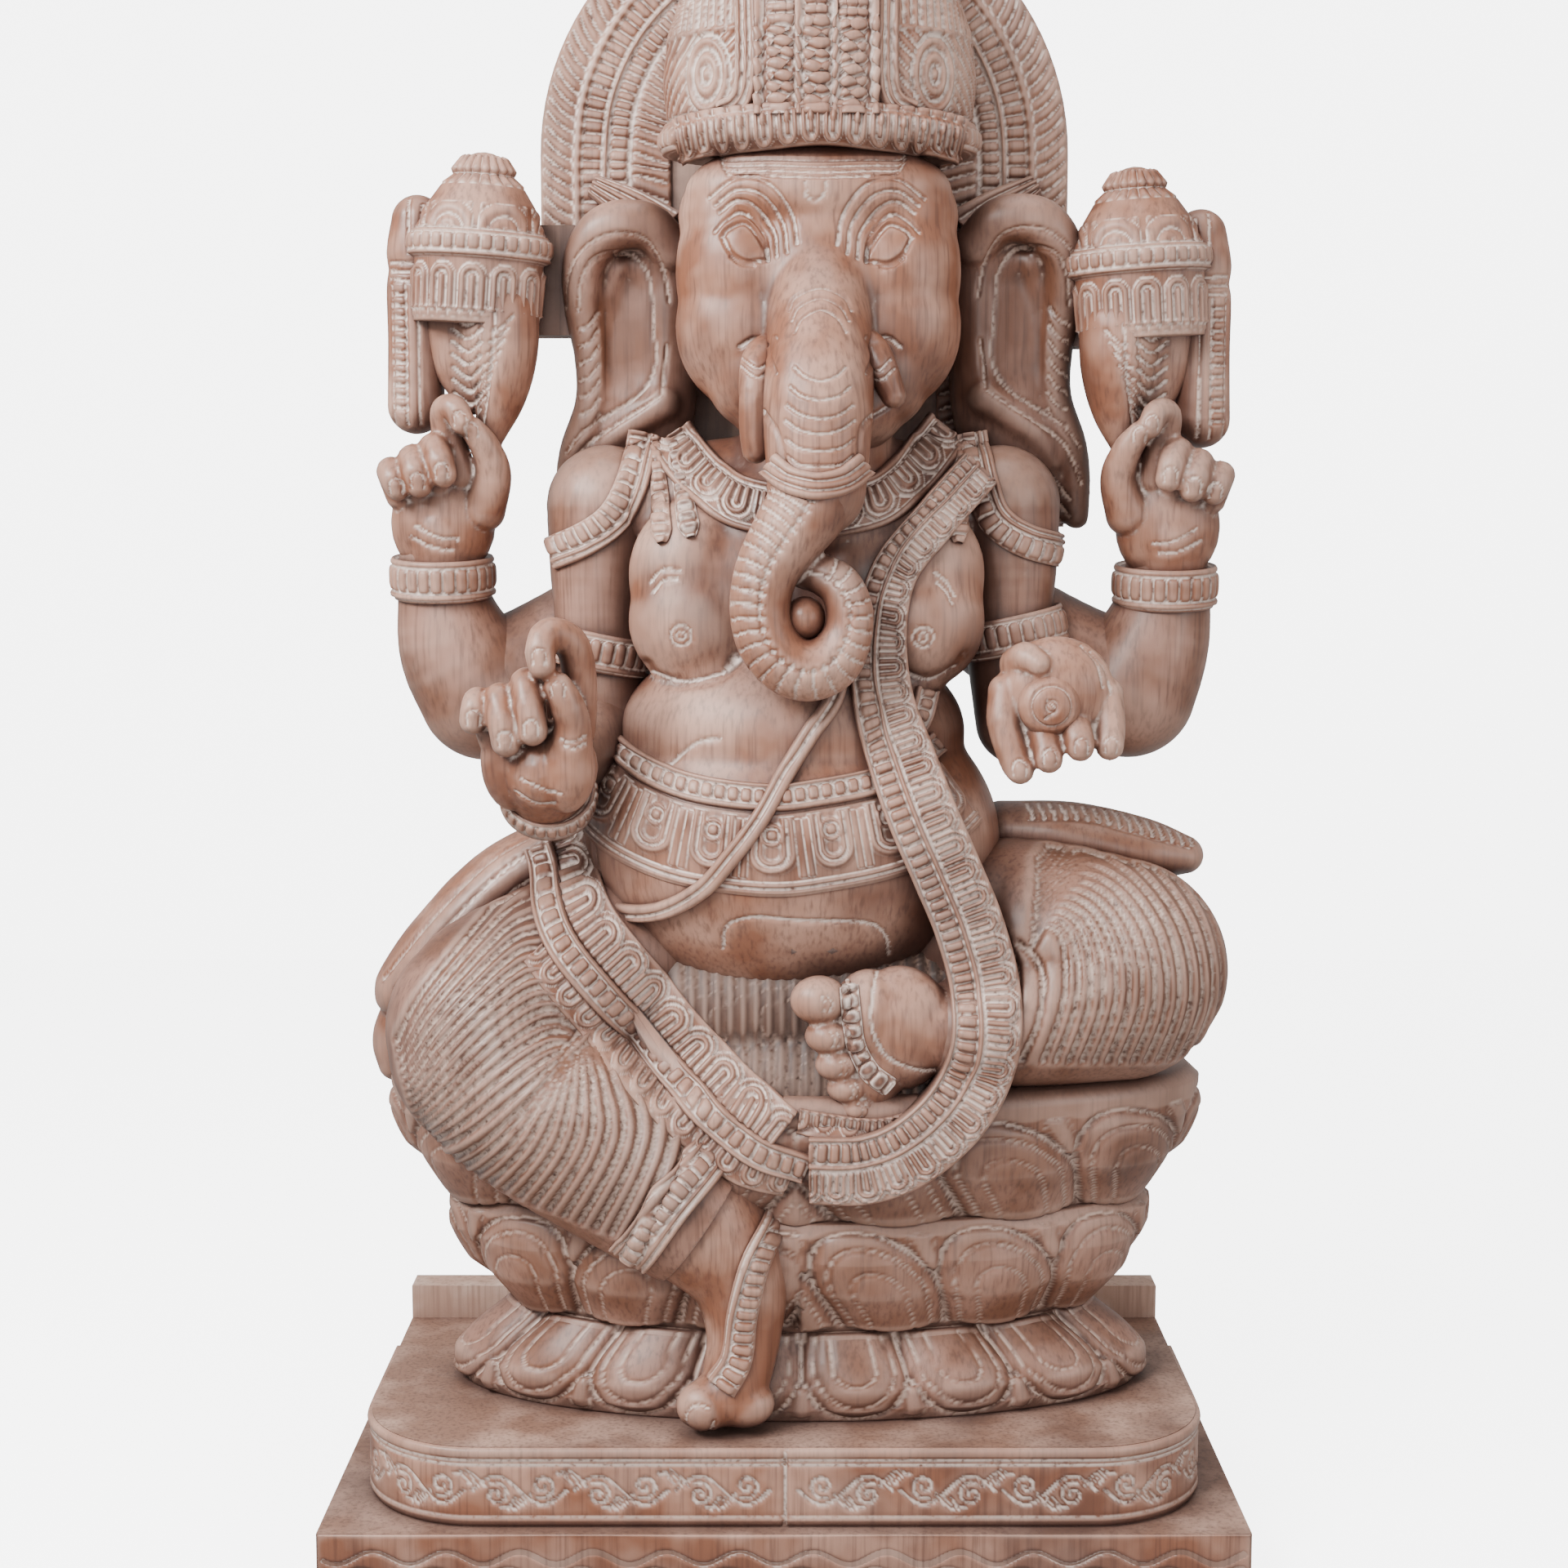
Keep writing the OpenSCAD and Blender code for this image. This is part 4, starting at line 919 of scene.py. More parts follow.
# %% Cloths
lap = rough_out("carved_lap_cloth", tubes=[
    [(-70, -40, 330, 58), (20, -50, 330, 58), (110, -40, 330, 58)],
    [(-60, -30, 380, 60), (30, -36, 384, 60), (120, -30, 380, 60)],
    [(-40, -60, 312, 42), (40, -64, 308, 44), (104, -56, 312, 42)]], voxel=3.0, rub=5)
pleats = [[(x, 450), (x + 1, 380), (x - 1, 300)] for x in range(-70, 150, 9)]
cut_lines(lap, pleats, width=3.4, depth=2.4)
shaded = limed_wood("rain wood, in the shade of the lap", "#6C4C3D", "#52372C", "#2A1C18", "#94786A", 0.45)
finish_piece(lap, ["lap_cloth"], shaded)
flap = rough_out("carved_right_hip_cloth", tubes=[
    ([(-150, 16, 498, 22), (-206, 14, 466, 26), (-250, 10, 422, 26), (-276, 6, 392, 22),
      (-282, 4, 384, 18)],
     (1, 1.7, 1)),
    ([(-262, 20, 380, 28), (-284, 16, 350, 20), (-286, 12, 330, 14)], (1, 1.4, 1))], voxel=2.5, rub=5)
edge = smooth_path([(-170, 0, 494), (-206, 0, 472), (-244, 0, 434), (-282, 0, 388)], 8)
cut_lines(flap, [[(x - 8, z + 10) for x, y, z in edge], [(x + 9, z - 11) for x, y, z in edge]], 2.4, 1.6)
cut_lines(flap, [[(x + 7, z + 9), (x + 3, z + 4)] for x, y, z in edge], 2.8, 2.0)
finish_piece(flap, ["right_hip_cloth"])
flap = rough_out("carved_left_hip_cloth", tubes=[
    ([(160, 20, 504, 20), (210, 14, 500, 24), (258, 8, 490, 24), (290, 2, 486, 15)], (1, 1.8, 0.95))],
    voxel=2.0, rub=7)
edge = smooth_path([(176, 0, 520), (215, 0, 520), (250, 0, 512), (292, 0, 500)], 8)
cut_lines(flap, [[(x, z + 8), (x + 3, z - 4)] for x, y, z in edge], 2.8, 2.0)
cut_lines(flap, [[(x, z - 6) for x, y, z in edge]], 2.4, 1.6)
finish_piece(flap, ["left_hip_cloth"])

# %% [markdown]
# ## The halo board
# The flat board behind the head is sawn to an arch and its edges are rounded. A border runs round its
# front: a fringe of leaning leaf cuts outside, then a ladder between two ribs, then short sticks that point
# to the head.

# %% Halo
arch = [(15 + 195 * math.cos(a), 995 + 195 * math.sin(a)) for a in np.linspace(0, math.pi, 49)]
outline = [(-136, 722), (210, 722)] + [(210, 900)] + arch + [(-180, 932), (-136, 920)]
bm = bmesh.new()
ring_verts = [bm.verts.new((x * MM, 0.084, z * MM)) for x, z in outline]
edges = [bm.edges.new(pair) for pair in zip(ring_verts, ring_verts[1:] + ring_verts[:1])]
bmesh.ops.contextual_create(bm, geom=edges)
slab = bmesh.ops.extrude_face_region(bm, geom=bm.faces[:])
for v in slab["geom"]:
    if isinstance(v, bmesh.types.BMVert):
        v.co.y = 0.13
bmesh.ops.recalc_face_normals(bm, faces=bm.faces[:])
rim_edges = [e for e in bm.edges if abs(e.verts[0].co.y - e.verts[1].co.y) < 1e-6]
bmesh.ops.bevel(bm, geom=rim_edges, offset=0.004, affect="EDGES", segments=2, profile=0.5, material=-1)
mesh = bpy.data.meshes.new("halo_board_back")
bm.to_mesh(mesh)
bm.free()
back = bpy.data.objects.new("halo_board_back", mesh)
scene.collection.objects.link(back)
finish_piece(back, ["halo_board"], sawn)
mesh.polygons.foreach_set("use_smooth", [False] * len(mesh.polygons))

border = [(-179, 84, 935), (-179, 84, 965)]
border += [(15 - 194 * math.cos(a), 84, 995 + 194 * math.sin(a)) for a in np.linspace(0.0, math.pi, 15)]
border += [(209, 84, 940), (209, 84, 860), (210, 84, 760), (210, 84, 724)]


def halo_relief(s, t):
    top = 365  # the top of the arch, where the feathers meet
    lean = np.sign(s - top) * (1.15 * t - 0.018 * t * t)
    leaf = 3.4 * np.abs(np.sin(np.pi * (s - lean) / 10.5)) ** 0.7 * within(t, 1, 24)
    leaf = leaf * (1 - 0.4 * ease(t, 16, 24)) - 2.2 * ease(2 - t, 0, 2)
    ladder = beads(s, t, 10.5, 37, 17, 3.6) - 1.2 * within(t, 29, 45)
    sticks = beads(s + 4, t, 9.5, 57, 13, 3.0) - 0.8 * within(t, 49, 66)
    outer = 3.0 * np.abs(np.sin(np.pi * (s - np.sign(s - top) * 0.3 * (t - 68)) / 11)) ** 0.7
    return (leaf + rib(t, 26.5, 6, 3.4) + ladder + rib(t, 47, 4, 3.0) + sticks + 2.2
            + (outer - 0.6) * within(t, 68, 96))


lay("halo_border", border, (0, 96), halo_relief, step=1.6, thick=4, lift=0.2)
for side, x0, way in (("right", 0, 1), ("left", 45, -1)):
    lay(f"halo_{side}_leaf", [(x0 + way * x, y, z) for x, y,
                              z in ((-88, 66, 936), (-112, 70, 955), (-140, 76, 972))],
        (-20, 20), lambda s, t: 3 * np.abs(np.sin(t / 3.0)) + 4 * (1 - ((t - 20) / 20) ** 2), step=1.3,
        thick=16,
        taper=lambda f: 1 - 0.6 * f)

# %% [markdown]
# ## The crown
# The crown is a turned block, flattened from front to back, in two tiers under a lotus bud. A panel of
# three ladders stands at the front between two U shaped borders, with leaf sweeps and teardrop jewels on
# each side, and a row of small U petals hangs along the brow.

# %% Crown
profile = [(0, 981), (100, 981), (106, 982), (112, 986), (112, 998), (105, 1004), (108, 1032), (104, 1064),
           (92, 1098), (76, 1124), (60, 1138), (54, 1146), (60, 1152), (52, 1160), (30, 1166), (0, 1168)]


def crown_relief(u, t, s):
    # t runs out along the underside for 100 mm, then up the side
    lower = beads(s, t, 9, 119, 11, 2.2) + rib(t, 110, 4, 2) + rib(t, 130, 4, 1.5)
    tear = np.hypot(np.abs(np.abs(s) - 82), 0.7 * (t - 160))
    jewel = 2.8 * (0.5 + 0.5 * np.cos(2 * np.pi * tear / 8)) * (tear < 18)
    leaf = 2.2 * np.abs(np.sin(np.pi * (np.abs(s) * 0.9 + (t - 150)) / 11)) * within(t, 136,
                                                                                     190) * (tear > 20)
    row = petals(s, t - 190, 20, 2, 32, 2.6) + rib(t, 191, 4, 2.2) + rib(t, 228, 4, 2)
    upper = beads(s, t, 8, 236, 9, 1.8) + feathers(s, t, 9, 0.6, 0, 1.8) * within(t, 243, 262)
    return (lower + jewel + leaf + row + upper) * ease(t, 104, 110)


crown = turned("carved_crown", profile, crown_relief, steps=336, squeeze=0.72, at=(25, -2, 0), step=1.8,
               fine=(96, 290))
finish_piece(crown, ["crown"])


def finial_relief(u, t, s):
    return (2.0 * np.abs(np.sin(u * math.pi * 20)) * within(t, 42, 80)
            + 1.4 * np.abs(np.sin(u * math.pi * 12)) * within(t, 100, 135))


finial = turned("carved_crown_finial", [(0, 1150), (50, 1152), (56, 1160), (48, 1170), (30, 1174),
                                        (24, 1180), (30, 1190), (26, 1198), (14, 1204), (5, 1208),
                                        (0, 1209)],
                finial_relief, steps=200, squeeze=0.75, at=(25, -2, -10), step=1.4)
finish_piece(finial, ["crown_finial"])

lay("crown_panel", [(22, -90, 1094), (22, -90, 1040), (22, -90, 998)], (-42, 42),
    lambda s, t: (beads(s, t, 7.3, 18, 17, 4.2) + beads(s + 2, t, 7.3, 42, 18, 4.2)
                  + beads(s + 4, t, 7.3, 66, 17, 4.2)
                  + rib(t, 3, 6, 4) + rib(t, 81, 6, 4) + rib(t, 30, 3.4, 3) + rib(t, 54, 3.4, 3)),
    hosts=[crown], step=1.0, thick=10, lift=3.0)
lay("crown_brow_band", [(-73, -30, 1003), (-66, -44, 1004), (-48, -62, 1006), (-12, -80, 1008),
                        (25, -84, 1010), (62, -80, 1008), (98, -62, 1006), (116, -44, 1004),
                        (123, -30, 1003)], (0, 29),
    lambda s, t: (beads(s, t, 12, 4, 7, 3) + petals(s, t, 16, 9, 28, 3.0) + rib(t, 8.5, 3, 2)
                  + rib(t, 13, 6, 2.4) * (np.abs(near(s, 16)) < 3)),
    hosts=[crown, head], step=1.0, thick=16, lift=2.5, settle=40)
for side, way in (("right", -1), ("left", 1)):
    u_line = [(22 + way * x, -80, z) for x, z in ((48, 1092), (47, 1050), (48, 1020), (54, 1008),
                                                  (66, 1003))]
    lay(f"crown_{side}_u_border", u_line, (-8, 8),
        lambda s, t: rib(t, 2.5, 4, 2.6) + rib(t, 8, 3, 2.0) + rib(t, 13, 4, 2.6), hosts=[crown], step=0.9,
        thick=8, lift=1.6, settle=20)

# %% [markdown]
# ## What the rear hands hold
# A goad on one side and a noose on the other, each carved as a domed head on a curved stem, with a tassel
# behind. Both are turned and flattened, ringed by beads and hung with petals.

# %% Goad and noose
def emblem(name, node, x0, z0, way, tassel_node):
    head_profile = [(0, 0), (44, 0), (46, 44), (50, 48), (50, 60), (44, 66), (38, 84), (30, 96), (20, 104),
                    (22, 108), (16, 116), (6, 120), (0, 121)]

    def relief(u, t, s):
        hang = petals(s, t - 50, 22, 2, 36, 2.8) + 1.2 * np.abs(np.sin(s / 2.6)) * within(t, 47, 54)
        band = beads(s, t, 9, 101, 11, 2.6) + rib(t, 93, 3, 1.6) + rib(t, 109, 3, 1.6)
        x = near(s + 20, 40)
        dome = 1.8 * np.abs(np.sin(np.hypot(x, t - 112) / 3.4)) * within(t, 112, 132) * (np.abs(x) < 17)
        bud = 1.5 * np.abs(np.sin(u * math.pi * 18)) * within(t, 150, 178)
        return (hang + band + dome + bud) * ease(t, 44, 48)

    finish_piece(turned(name + "_head", head_profile, relief, steps=252, squeeze=0.72, at=(x0, 8, z0),
                        tilt=(0, way * 4, 0), step=1.5, fine=(44, 186)))

    def there(points):
        return [(x0 + way * x, y, z0 + z, *rest) for x, y, z, *rest in points]
    stem = rough_out(name + "_stem", tubes=[
        there([(16, 6, 8, 30), (18, 4, -18, 27), (18, 2, -48, 19), (10, 0, -78, 11), (4, 0, -100, 7)]),
        (there([(-4, 14, 6, 34), (-6, 14, -24, 26), (-2, 12, -50, 14)]), (1, 0.5, 1))], voxel=1.6, rub=7)
    cut_lines(stem, [there([(30 - k * 0.4, 0, 4 - k), (22 - k * 0.4, 0, -4 - k), (16 - k * 0.3, 0, -6 - k)])
                     for k in range(0, 84, 8)], 2.2, 1.5)
    cut_lines(stem, [there([(18, 0, 8), (14, 0, -30), (6, 0, -74)]),
                     there([(8, 0, 8), (4, 0, -30), (0, 0, -70)])], 2.4, 1.6)
    cut_lines(stem, [there([(8 - k * 0.05, 0, 4 - k), (-4, 0, -2 - k), (-16, 0, 6 - k)])
                     for k in range(0, 60, 9)], 2.4, 1.8)
    finish_piece(stem, [node])
    tassel = rough_out(name + "_tassel", tubes=[
        (there([(-42, 22, 74, 19), (-44, 22, 50, 21), (-45, 22, 40, 15), (-45, 22, 30, 20),
                (-45, 22, -10, 20), (-45, 22, -56, 21)]), (1, 0.9, 1))], voxel=1.6, rub=5)
    cut_lines(tassel, [there([(-60, 0, k), (-45, 0, k - 1), (-30, 0, k)]) for k in (44, 38, 32)], 2.4, 1.6)
    cut_lines(tassel, [there([(-58, 0, -k), (-50, 0, -k - 1)]) for k in range(-22, 62, 8)], 3, 2.2)
    cut_lines(tassel, [there([(-49, 0, 28), (-49, 0, -70)]), there([(-40, 0, 28), (-40, 0, -70)]),
                       there([(-60, 0, 28), (-60, 0, -70)]), there([(-46, 0, 88), (-46, 0, 50)]),
                       there([(-36, 0, 84), (-38, 0, 50)])], 2.2, 1.5)
    finish_piece(tassel, [tassel_node])


emblem("right_goad", "right_goad", -220, 866, 1, "right_goad_tassel")
emblem("left_noose", "left_noose", 256, 856, -1, "left_noose_tassel")

# %% [markdown]
# ## The base
# The board and the plinth keep their sawn blocks from the frame. What was carved on them is laid on as
# strips: a wavy line along the board's front edge, and a vine scroll round the plinth between pairs of
# ribs.

# %% Board and plinth
waves = [[(a, 17 + 4.5 * math.sin(a / 8)) for a in range(4, 636, 5)],
         [(a, 29 + 4 * math.sin(a / 8 + 1)) for a in range(4, 636, 5)]]
lay("base_board_front", [(-319, -159.5, 39.5), (0, -159.5, 39.5), (319, -159.5, 39.5)], (0, 39),
    lambda s, t: gouged(s, t, waves, 2.6, 1.6) + 0.5 * np.sin(s / 37) * within(t, 1, 38), thick=4, step=1.4,
    lift=1.2)


def scroll(start, way):
    lines = [[(start + way * (4 + 64 * f), 30 + 10 * math.sin(2 * math.pi * f))
              for f in np.linspace(0, 1, 14)]]
    for middle, up in ((20, 1), (52, -1)):
        lines.append([(start + way * (middle + (9 - 7.5 * f) * math.cos(1.2 + 8.5 * f)),
                       30 - up * 3 + up * (9 - 7.5 * f) * math.sin(1.2 + 8.5 * f))
                       for f in np.linspace(0, 1, 16)])
        for k in range(3):
            lines.append([(start + way * (middle + 8 + 5 * k), 30 + up * (3 + k)),
                          (start + way * (middle + 13 + 5 * k), 30 + up * (9 + k)),
                          (start + way * (middle + 20 + 4 * k), 30 + up * (14 - k))])
    return lines


outline = ([(-295, y, 97) for y in (60, 20, -20, -50)]
           + [(-210 - 85 * math.cos(a), -63 - 85 * math.sin(a), 97) for a in np.linspace(0.15, 1.42, 7)]
           + [(x, -148, 97) for x in range(-200, 201, 50)]
           + [(210 + 85 * math.sin(a), -63 - 85 * math.cos(a), 97) for a in np.linspace(0.15, 1.42, 7)]
           + [(295, y, 97) for y in (-50, -20, 20, 60)])
middle = len(smooth_path(outline, 1.4)) * 0.7
vines = [line for k in range(6) for line in scroll(middle + 6 + 70 * k, 1)
         + scroll(middle - 6 - 70 * k, -1)]
lay("plinth_frieze", outline, (0.5, 56),
    lambda s, t: (rib(t, 3.5, 8, 2.6) + rib(t, 10, 3, 1.2) + rib(t, 13.5, 2.4, 1.0) + rib(t, 47, 2.4, 1.0)
                  + rib(t, 51, 5, 1.6) + 1.2 * within(t, 15, 46) + gouged(s, t, vines, 2.2, 2.0)
                  - 2.4 * np.exp(-((s - middle) / 1.2) ** 2)),
    view="out", step=1.7, thick=9, lift=1.0)

# %% [markdown]
# ## The lotus
# Three tiers of petals, each cut round a turned block. A petal is a set of outlines one inside the other,
# swelling in the middle, with a bud between each pair.

# %% Lotus tiers
def lotus_tier(name, node, profile, count, squeeze, at, flip, start, stop, swell, offset=0.0, lean=0.0):
    def relief(u, t, s):
        y = np.clip((t - start) / (stop - start), 0, 1)
        y = 1 - y if flip else y
        x = near((u + offset) * count + lean * (y - 0.5) * np.sign(u), 1.0)
        tip = np.hypot(x / 0.5, np.clip(y - 0.45, 0, None) / 0.55) + 0.10 * np.clip(0.45 - y, 0, 1)
        body = swell * np.clip(1 - tip ** 2, 0, 1)
        for outline, deep in ((0.42, 1.2), (0.76, 1.5), (1.0, 2.8)):
            body -= deep * np.exp(-((tip - outline) / 0.036) ** 2)
        bud = 3.0 * np.clip(1 - ((np.abs(x) - 0.5) / 0.09) ** 2, 0, 1) * within(y, 0.66, 0.97)
        return (body + bud) * ease(t, start - 3, start + 2) * (1 - ease(t, stop - 2, stop + 3))
    tier = turned(name, profile, relief, steps=540, squeeze=squeeze, at=at, step=2.0,
                  fine=(start - 6, stop + 6))
    return finish_piece(tier, [node], shade_darkened_wood)


lotus_tier("lotus_foot_petals", "lotus_foot", [(0, 97.3), (250, 97.3), (256, 106), (252, 118), (232, 136),
                                               (214, 150),
           (206, 158), (0, 158)], 15, 0.433, (12, 6, 0), True, 252, 330, 8, 0.1)
lotus_tier("lotus_cup_petals", "lotus_cup", [(0, 156), (204, 156), (214, 166), (240, 190), (254, 214),
                                             (258, 232),
           (250, 241), (0, 241)], 13, 0.445, (12, 6, 0), False, 212, 304, 9, 0.03, 0.5)
lotus_tier("lotus_seat_petals", "lotus_seat", [(0, 239), (246, 239), (256, 246), (282, 276), (296, 304),
                                               (297, 324),
           (288, 332.5), (0, 332.5)], 13, 0.425, (8, 6, 0), False, 252, 340, 9, 0.5, 0.6)

# %% [markdown]
# ## The garland
# A wide garland hangs from the figure's left shoulder, down beside the belly, round under the foot in the
# lap and back to the middle. Its inner half is a ladder between two ribs and its outer half is a row of
# curled leaves.

# %% Garland
hung = [bpy.data.objects[n] for n in ("carved_torso", "carved_left_leg", "carved_right_leg",
                                      "carved_lap_cloth", "lotus_seat_petals")]


def garland_relief(s, t):
    # the outer half is leaves, 0 to 26 mm; the inner half is the ladder, 26 to 46 mm
    leaf = petals(s, 27 - t, 19, 2, 25, 3.6, 0.5) * within(t, 0, 26) + 1.6 * within(t, 1, 27)
    return leaf + rib(t, 28.5, 4, 4.2) + beads(s, t, 8.2, 37.5, 14, 4.4) + rib(t, 46.5, 3.4, 3.0) + 1


lay("garland_band", [(18, -118, 284), (56, -122, 285), (89, -124, 299), (119, -122, 327), (136, -118, 363),
                     (138, -112, 407), (127, -110, 451), (111, -112, 490), (94, -112, 529), (80, -100, 567),
                     (68, -86, 605), (66, -76, 649), (76, -70, 693), (106, -56, 730), (136, -30, 762)],
    (-24, 24), lambda s, t: garland_relief(s, 48 - t), hosts=hung, step=1.15,
    thick=22, lift=3, settle=60, floats=True, taper=lambda f: 1 - 0.35 * ease(f, 0.55, 0.9),
    nodes=["garland"])

# %% [markdown]
# ## Borders and belts
# The border of the leg cloth, the belt over the belly and the sacred thread all follow the body under them.

# %% Leg cloth border
def ladder(width, pitch, high=3.0):
    return lambda s, t: (rib(t, 2, 4, high) + rib(t, width - 2, 4, high)
                         + beads(s, t, pitch, width / 2, width - 9, high + 0.4))


border_line = [(-176, -60, 494), (-158, -80, 446), (-127, -95, 405), (-92, -104, 362), (-56, -110, 326),
               (-20, -114, 298), (16, -116, 284)]
lay("cloth_border", border_line, (-11, 11), ladder(22, 9.5), hosts=hung, step=1.1, thick=16, lift=3,
    settle=90)
lay("cloth_border_petals", [(x + 20, y, z + 14) for x, y, z in border_line[:6]], (-16, 14),
    lambda s, t: petals(s, 30 - t, 26, 1, 28, 3.2, 0.5) + 1, hosts=hung, step=1.1, thick=16, lift=1.5,
    settle=90)
lay("cloth_border_leaves", [(x - 14, y, z - 13) for x, y, z in border_line[1:]], (-9, 9),
    lambda s, t: petals(s, t, 20, 1, 17, 2.6, 0.6) + 0.6, hosts=hung, step=1.0, thick=12, lift=0.6,
    settle=40)

# %% [markdown]
# ## The belt
# A ladder of beads lies over a row of U shaped medallions with a jewel in each, and a short end of the
# ladder comes up at the side. The medallions hang from the same path as the ladder, so that the two stay
# together.

# %% Belt
belt_line = [(-124, -60, 573), (-118, -90, 568), (-95, -105, 556), (-61, -115, 546), (-11, -120, 541),
             (22, -120, 544), (67, -115, 552), (92, -105, 564), (106, -90, 574)]
lay("belt_ladder", belt_line, (-9, 9), ladder(18, 9), hosts=[torso], step=1.0, thick=10, lift=2.2)


def medallions(s, t):
    x = near(s, 38)
    loop = np.hypot(x, np.clip(t - 26, 0, None))
    u_shape = 3.0 * np.exp(-((loop - 12) / 2.2) ** 2) + 2.4 * np.exp(-((loop - 7) / 1.6) ** 2)
    jewel = 3.2 * np.sqrt(np.clip(1 - (x ** 2 + (t - 14) ** 2) / 16, 0, 1))
    jewel += 2 * np.exp(-((np.hypot(x, t - 14) - 6.5) / 1.3) ** 2)
    return (u_shape * within(t, 2, 42) + jewel + rib(t, 48, 3, 2.0) + rib(t, 53, 2.4, 1.6)
            + 1.4 * np.abs(np.sin(near(s + 19, 38) / 1.6)) * (np.abs(near(s + 19, 38)) < 5)
            * within(t, 4, 44))


lay("belt_medallions", [(x, y, z - 11) for x, y, z in belt_line], (0, 56), medallions, hosts=[torso],
    step=1.0, thick=10, lift=0.9, settle=12)
lay("belt_end", [(86, -90, 580), (95, -86, 594), (100, -80, 610)], (-9, 9), ladder(18, 8), hosts=[torso],
    step=1.0, thick=10, lift=2, settle=60)

# %% [markdown]
# ## The sacred thread
# Two cords side by side cross the belly from under the trunk to the hip. They lie over the belt, so they
# are lifted more than the belt is.

# %% Sacred thread
thread_line = [(40, -100, 628), (33, -100, 605), (17, -104, 583), (0, -108, 555), (-17, -112, 526),
               (-36, -112, 501), (-56, -110, 478), (-84, -100, 461), (-112, -86, 456), (-130, -70, 460)]
lay("sacred_thread", thread_line, (-6.5, 6.5), lambda s, t: rib(t, 3.2, 6.2, 3.4) + rib(t, 9.8, 6.2, 3.4),
    hosts=[torso], step=1.0, thick=10, lift=4.2, settle=30)

# %% [markdown]
# ## The necklace
# A wide collar of petals goes round the neck. Rows of beads fall from it on the chest and run over the
# shoulders, where they lie on the arm and the torso at once.

# %% Necklace, pendants and shoulder beads
collar_line = [(-80, -34, 789), (-69, -40, 774), (-51, -50, 756), (-28, -55, 742), (14, -58, 736),
               (60, -55, 742), (84, -50, 758), (103, -40, 778), (116, -34, 794)]
lay("necklace", collar_line, (-16, 20),
    lambda s, t: petals(s, t - 7, 24, 1, 24, 3.2, 0.5) + rib(t, 3, 5, 3) + rib(t, 33.5, 4, 2.4),
    hosts=[torso], step=1.0, thick=14, lift=2.5, settle=30)
for side, points in (
        ("right", [(-100, -20, 790), (-107, -24, 755), (-120, -26, 730), (-140, -22, 715),
                   (-166, -8, 704)]),
        ("left", [(134, -20, 790), (140, -24, 752), (150, -26, 728), (170, -22, 714), (198, -8, 706)])):
    lay(f"{side}_shoulder_beads", points, (-12, 12),
        lambda s, t: beads(s, t, 9, 16, 14, 4) + rib(t, 6, 3, 2.4) + rib(t, 2, 3, 2),
        hosts=[bpy.data.objects[f"carved_{side}_front_upper_arm"], torso], step=1.0, thick=12, lift=2.4)
for name, points in (("right_pendant_a", [(-92, -30, 786), (-88, -40, 752), (-84, -50, 712)]),
                     ("right_pendant_b", [(-80, -40, 786), (-72, -48, 752), (-64, -56, 716)]),
                     ("left_pendant_a", [(126, -30, 786), (124, -40, 752), (120, -50, 712)])):
    lay(name, points, (-8, 8), lambda s, t: beads(s, t, 7.5, 8, 13, 3.4), hosts=[torso], step=1.0, thick=9,
        lift=1.6,
        taper=lambda f: (0.55 + 0.45 * f) * np.sqrt(np.clip((1.02 - f) / 0.14, 0, 1)))

# %% [markdown]
# ## Rings on the arms
# Armlets and bracelets are turned rings of upright beads between two ribs, slipped on at the angle of the
# limb.

# %% Armlets and bracelets
def ring_band(name, at, r, tall, tilt=(0, 0, 0), squeeze=1.0, pitch=8.5, thick=6):
    count = round(2 * math.pi * r / pitch)
    half = tall / 2
    profile = [(r - thick, -half), (r + 1, -half), (r + 2, -half + 3), (r + 2, half - 3), (r + 1, half),
               (r - thick, half), (r - thick, -half)]

    def relief(u, t, s):
        mid = thick + 1 + half + 2.0
        x = near(u * count, 1.0)
        body = 1 - np.abs(x / 0.46) ** 3 - np.abs((t - mid) / (tall * 0.32)) ** 4
        shown = within(t, thick - 1, thick + tall + 3)
        return (2.8 * np.sqrt(np.clip(body, 0, 1)) + rib(t, mid - tall * 0.42, tall * 0.16, 2.2)
                + rib(t, mid + tall * 0.42, tall * 0.16, 2.2)) * shown
    return finish_piece(turned(name, profile, relief, steps=count * 8, squeeze=squeeze, at=at, tilt=tilt,
                               step=1.3))


ring_band("right_bracelet", (-247, 16, 686), 34, 28, (6, 0, 0))
ring_band("left_bracelet", (276, 16, 680), 34, 28, (6, 0, 0))
ring_band("right_armlet", (-134, 7, 634), 37, 26, (0, 12, 0))
ring_band("left_armlet", (164, 7, 646), 37, 26, (0, -12, 0))
ring_band("right_hand_bracelet", (-164, -72, 538), 30, 16, (50, 8, 0), pitch=7)

# %% [markdown]
# ## Hem, anklets and the band round the trunk
# These are flat bands rather than rings, because only the part in front was carved. Each is laid on one or
# two pieces.

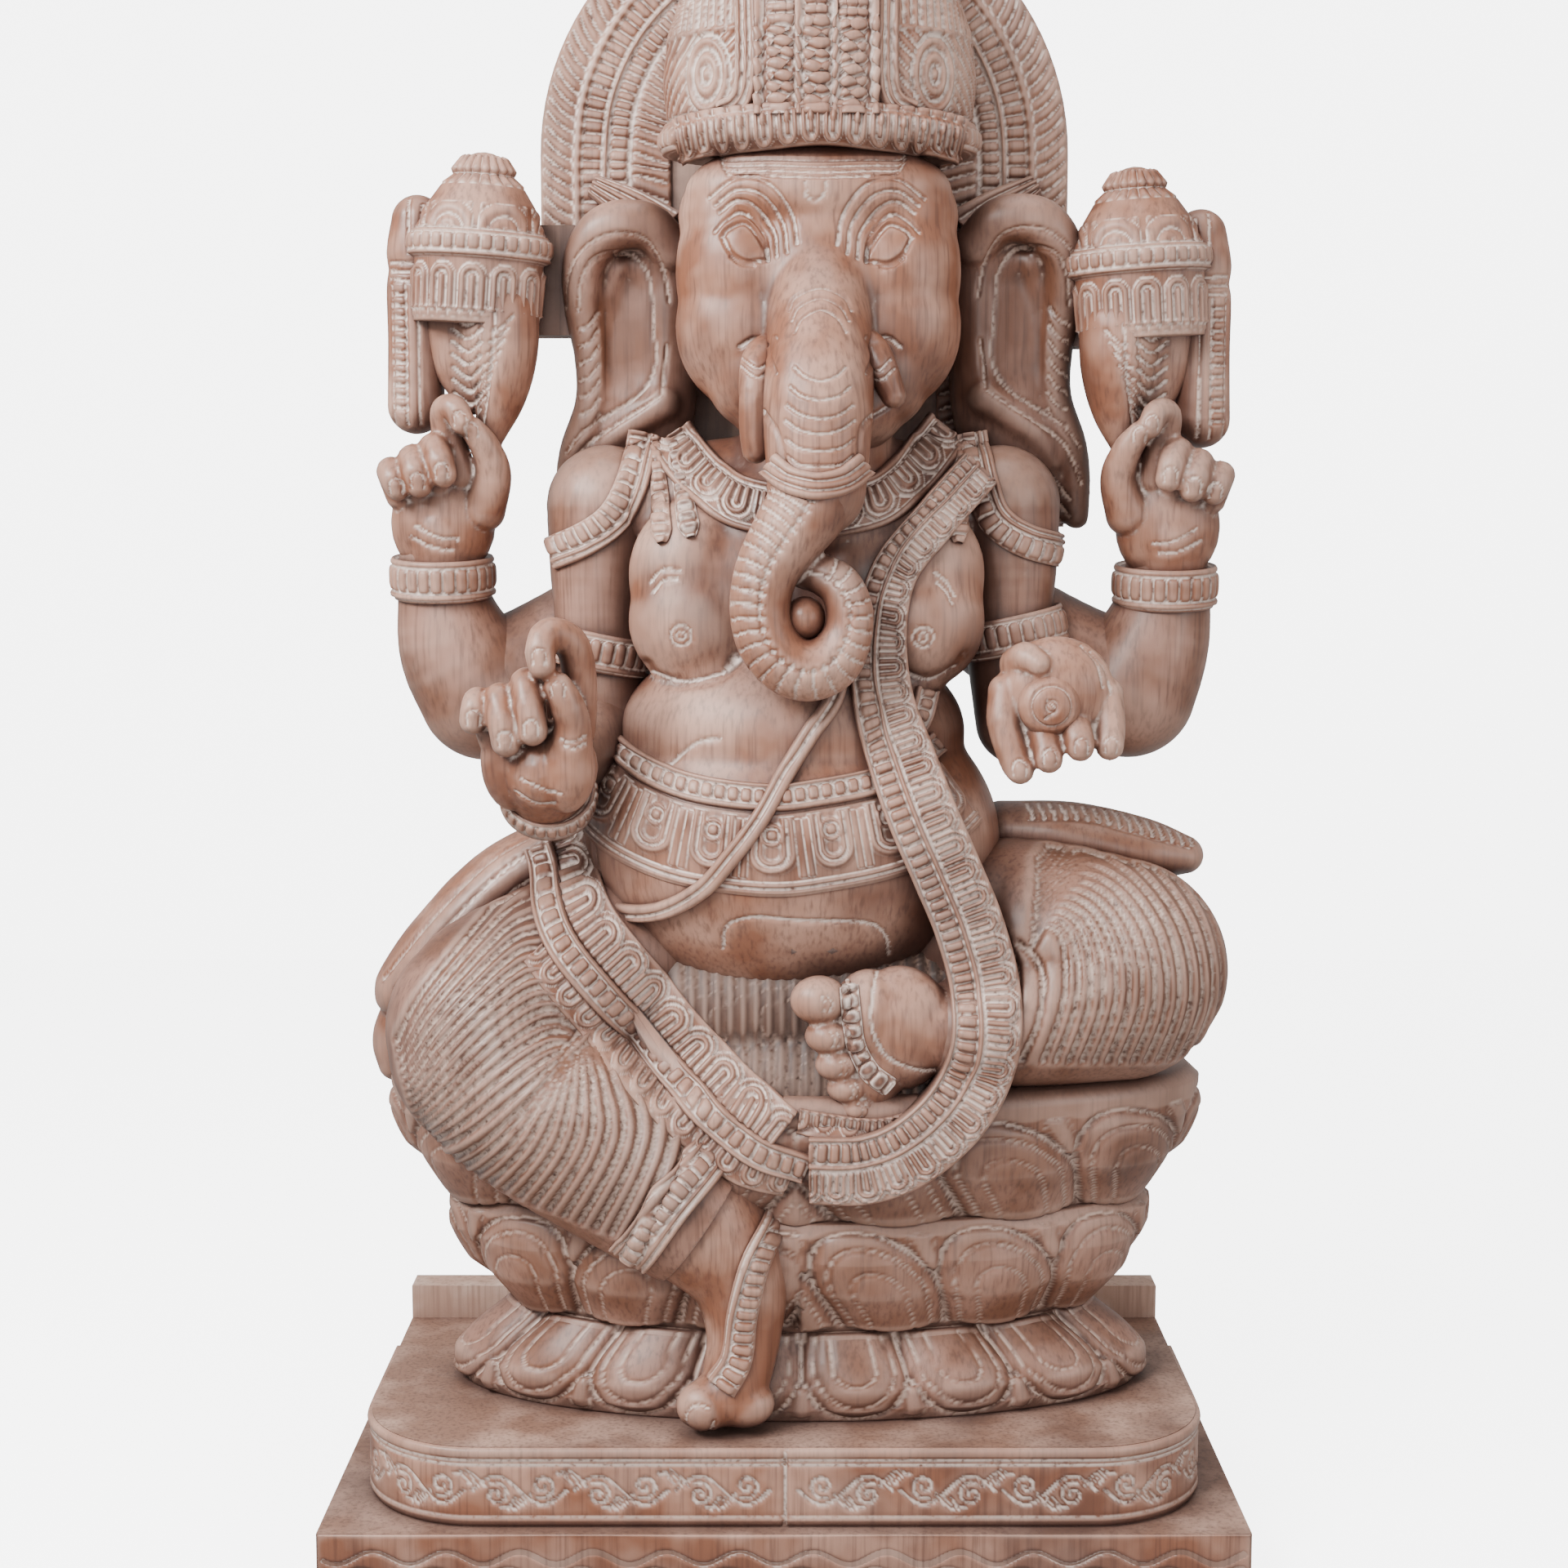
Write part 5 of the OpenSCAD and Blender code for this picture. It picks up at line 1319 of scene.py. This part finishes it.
# %% Hem and anklets
lay("trunk_band", [(-9, -110, 765), (4, -130, 755), (22, -142, 751), (40, -130, 755), (53, -110, 765)],
    (-9, 9),
    lambda s, t: rib(t, 3, 5, 2.4) + rib(t, 9, 6, 2.6) + rib(t, 15, 5, 2.4), hosts=[head, trunk], step=1.0,
    thick=16, lift=2.5, settle=30)
lay("leg_hem", [(-38, -100, 291), (-70, -110, 258), (-98, -112, 216)], (-4, 26),
    lambda s, t: (rib(t, 2, 4, 2.6) + rib(t, 7, 3, 1.8) + beads(s, t, 9, 16, 12, 3.8) + rib(t, 25, 3, 1.8)
                  + rib(t, 29, 3, 1.6)),
    hosts=[bpy.data.objects["carved_right_leg"], bpy.data.objects["carved_right_foot"]], step=1.0, thick=12,
    lift=2.5)
lay("right_anklet", [(-3, -100, 248), (-20, -104, 222), (-29, -108, 186), (-33, -112, 154),
                     (-44, -114, 134)],
    (-11, 10), lambda s, t: beads(s, t, 8.6, 8, 13, 3.6) + rib(t, 17, 4, 2.6),
    hosts=[bpy.data.objects["carved_right_foot"]], step=1.0, thick=10, lift=2.2)
lay("left_anklet", [(124, -100, 424), (127, -104, 384), (124, -100, 342)], (-12, 12),
    lambda s, t: beads(s, t, 9, 12, 16, 3.6) + rib(t, 2, 3, 2) + rib(t, 22, 3, 2),
    hosts=[bpy.data.objects["carved_left_foot"], bpy.data.objects["carved_left_leg"]], step=1.0, thick=14,
    lift=2.0)
lay("left_foot_beads", [(44, -110, 412), (46, -112, 392), (49, -112, 372), (58, -110, 354),
                        (72, -108, 342)], (-7, 7),
    lambda s, t: beads(s, t, 10, 7, 12, 4.2), hosts=[bpy.data.objects["carved_left_foot"]], step=0.9,
    thick=9, lift=1.4)
lay("lap_cloth_hem", [(10, -108, 318), (22, -110, 316), (67, -112, 311), (106, -108, 322)], (-9, 9),
    lambda s, t: petals(s, t, 18, 0, 16, 2.4, 0.6) + rib(t, 1, 2, 1.6), hosts=hung, step=1.0, thick=10,
    lift=1.4)
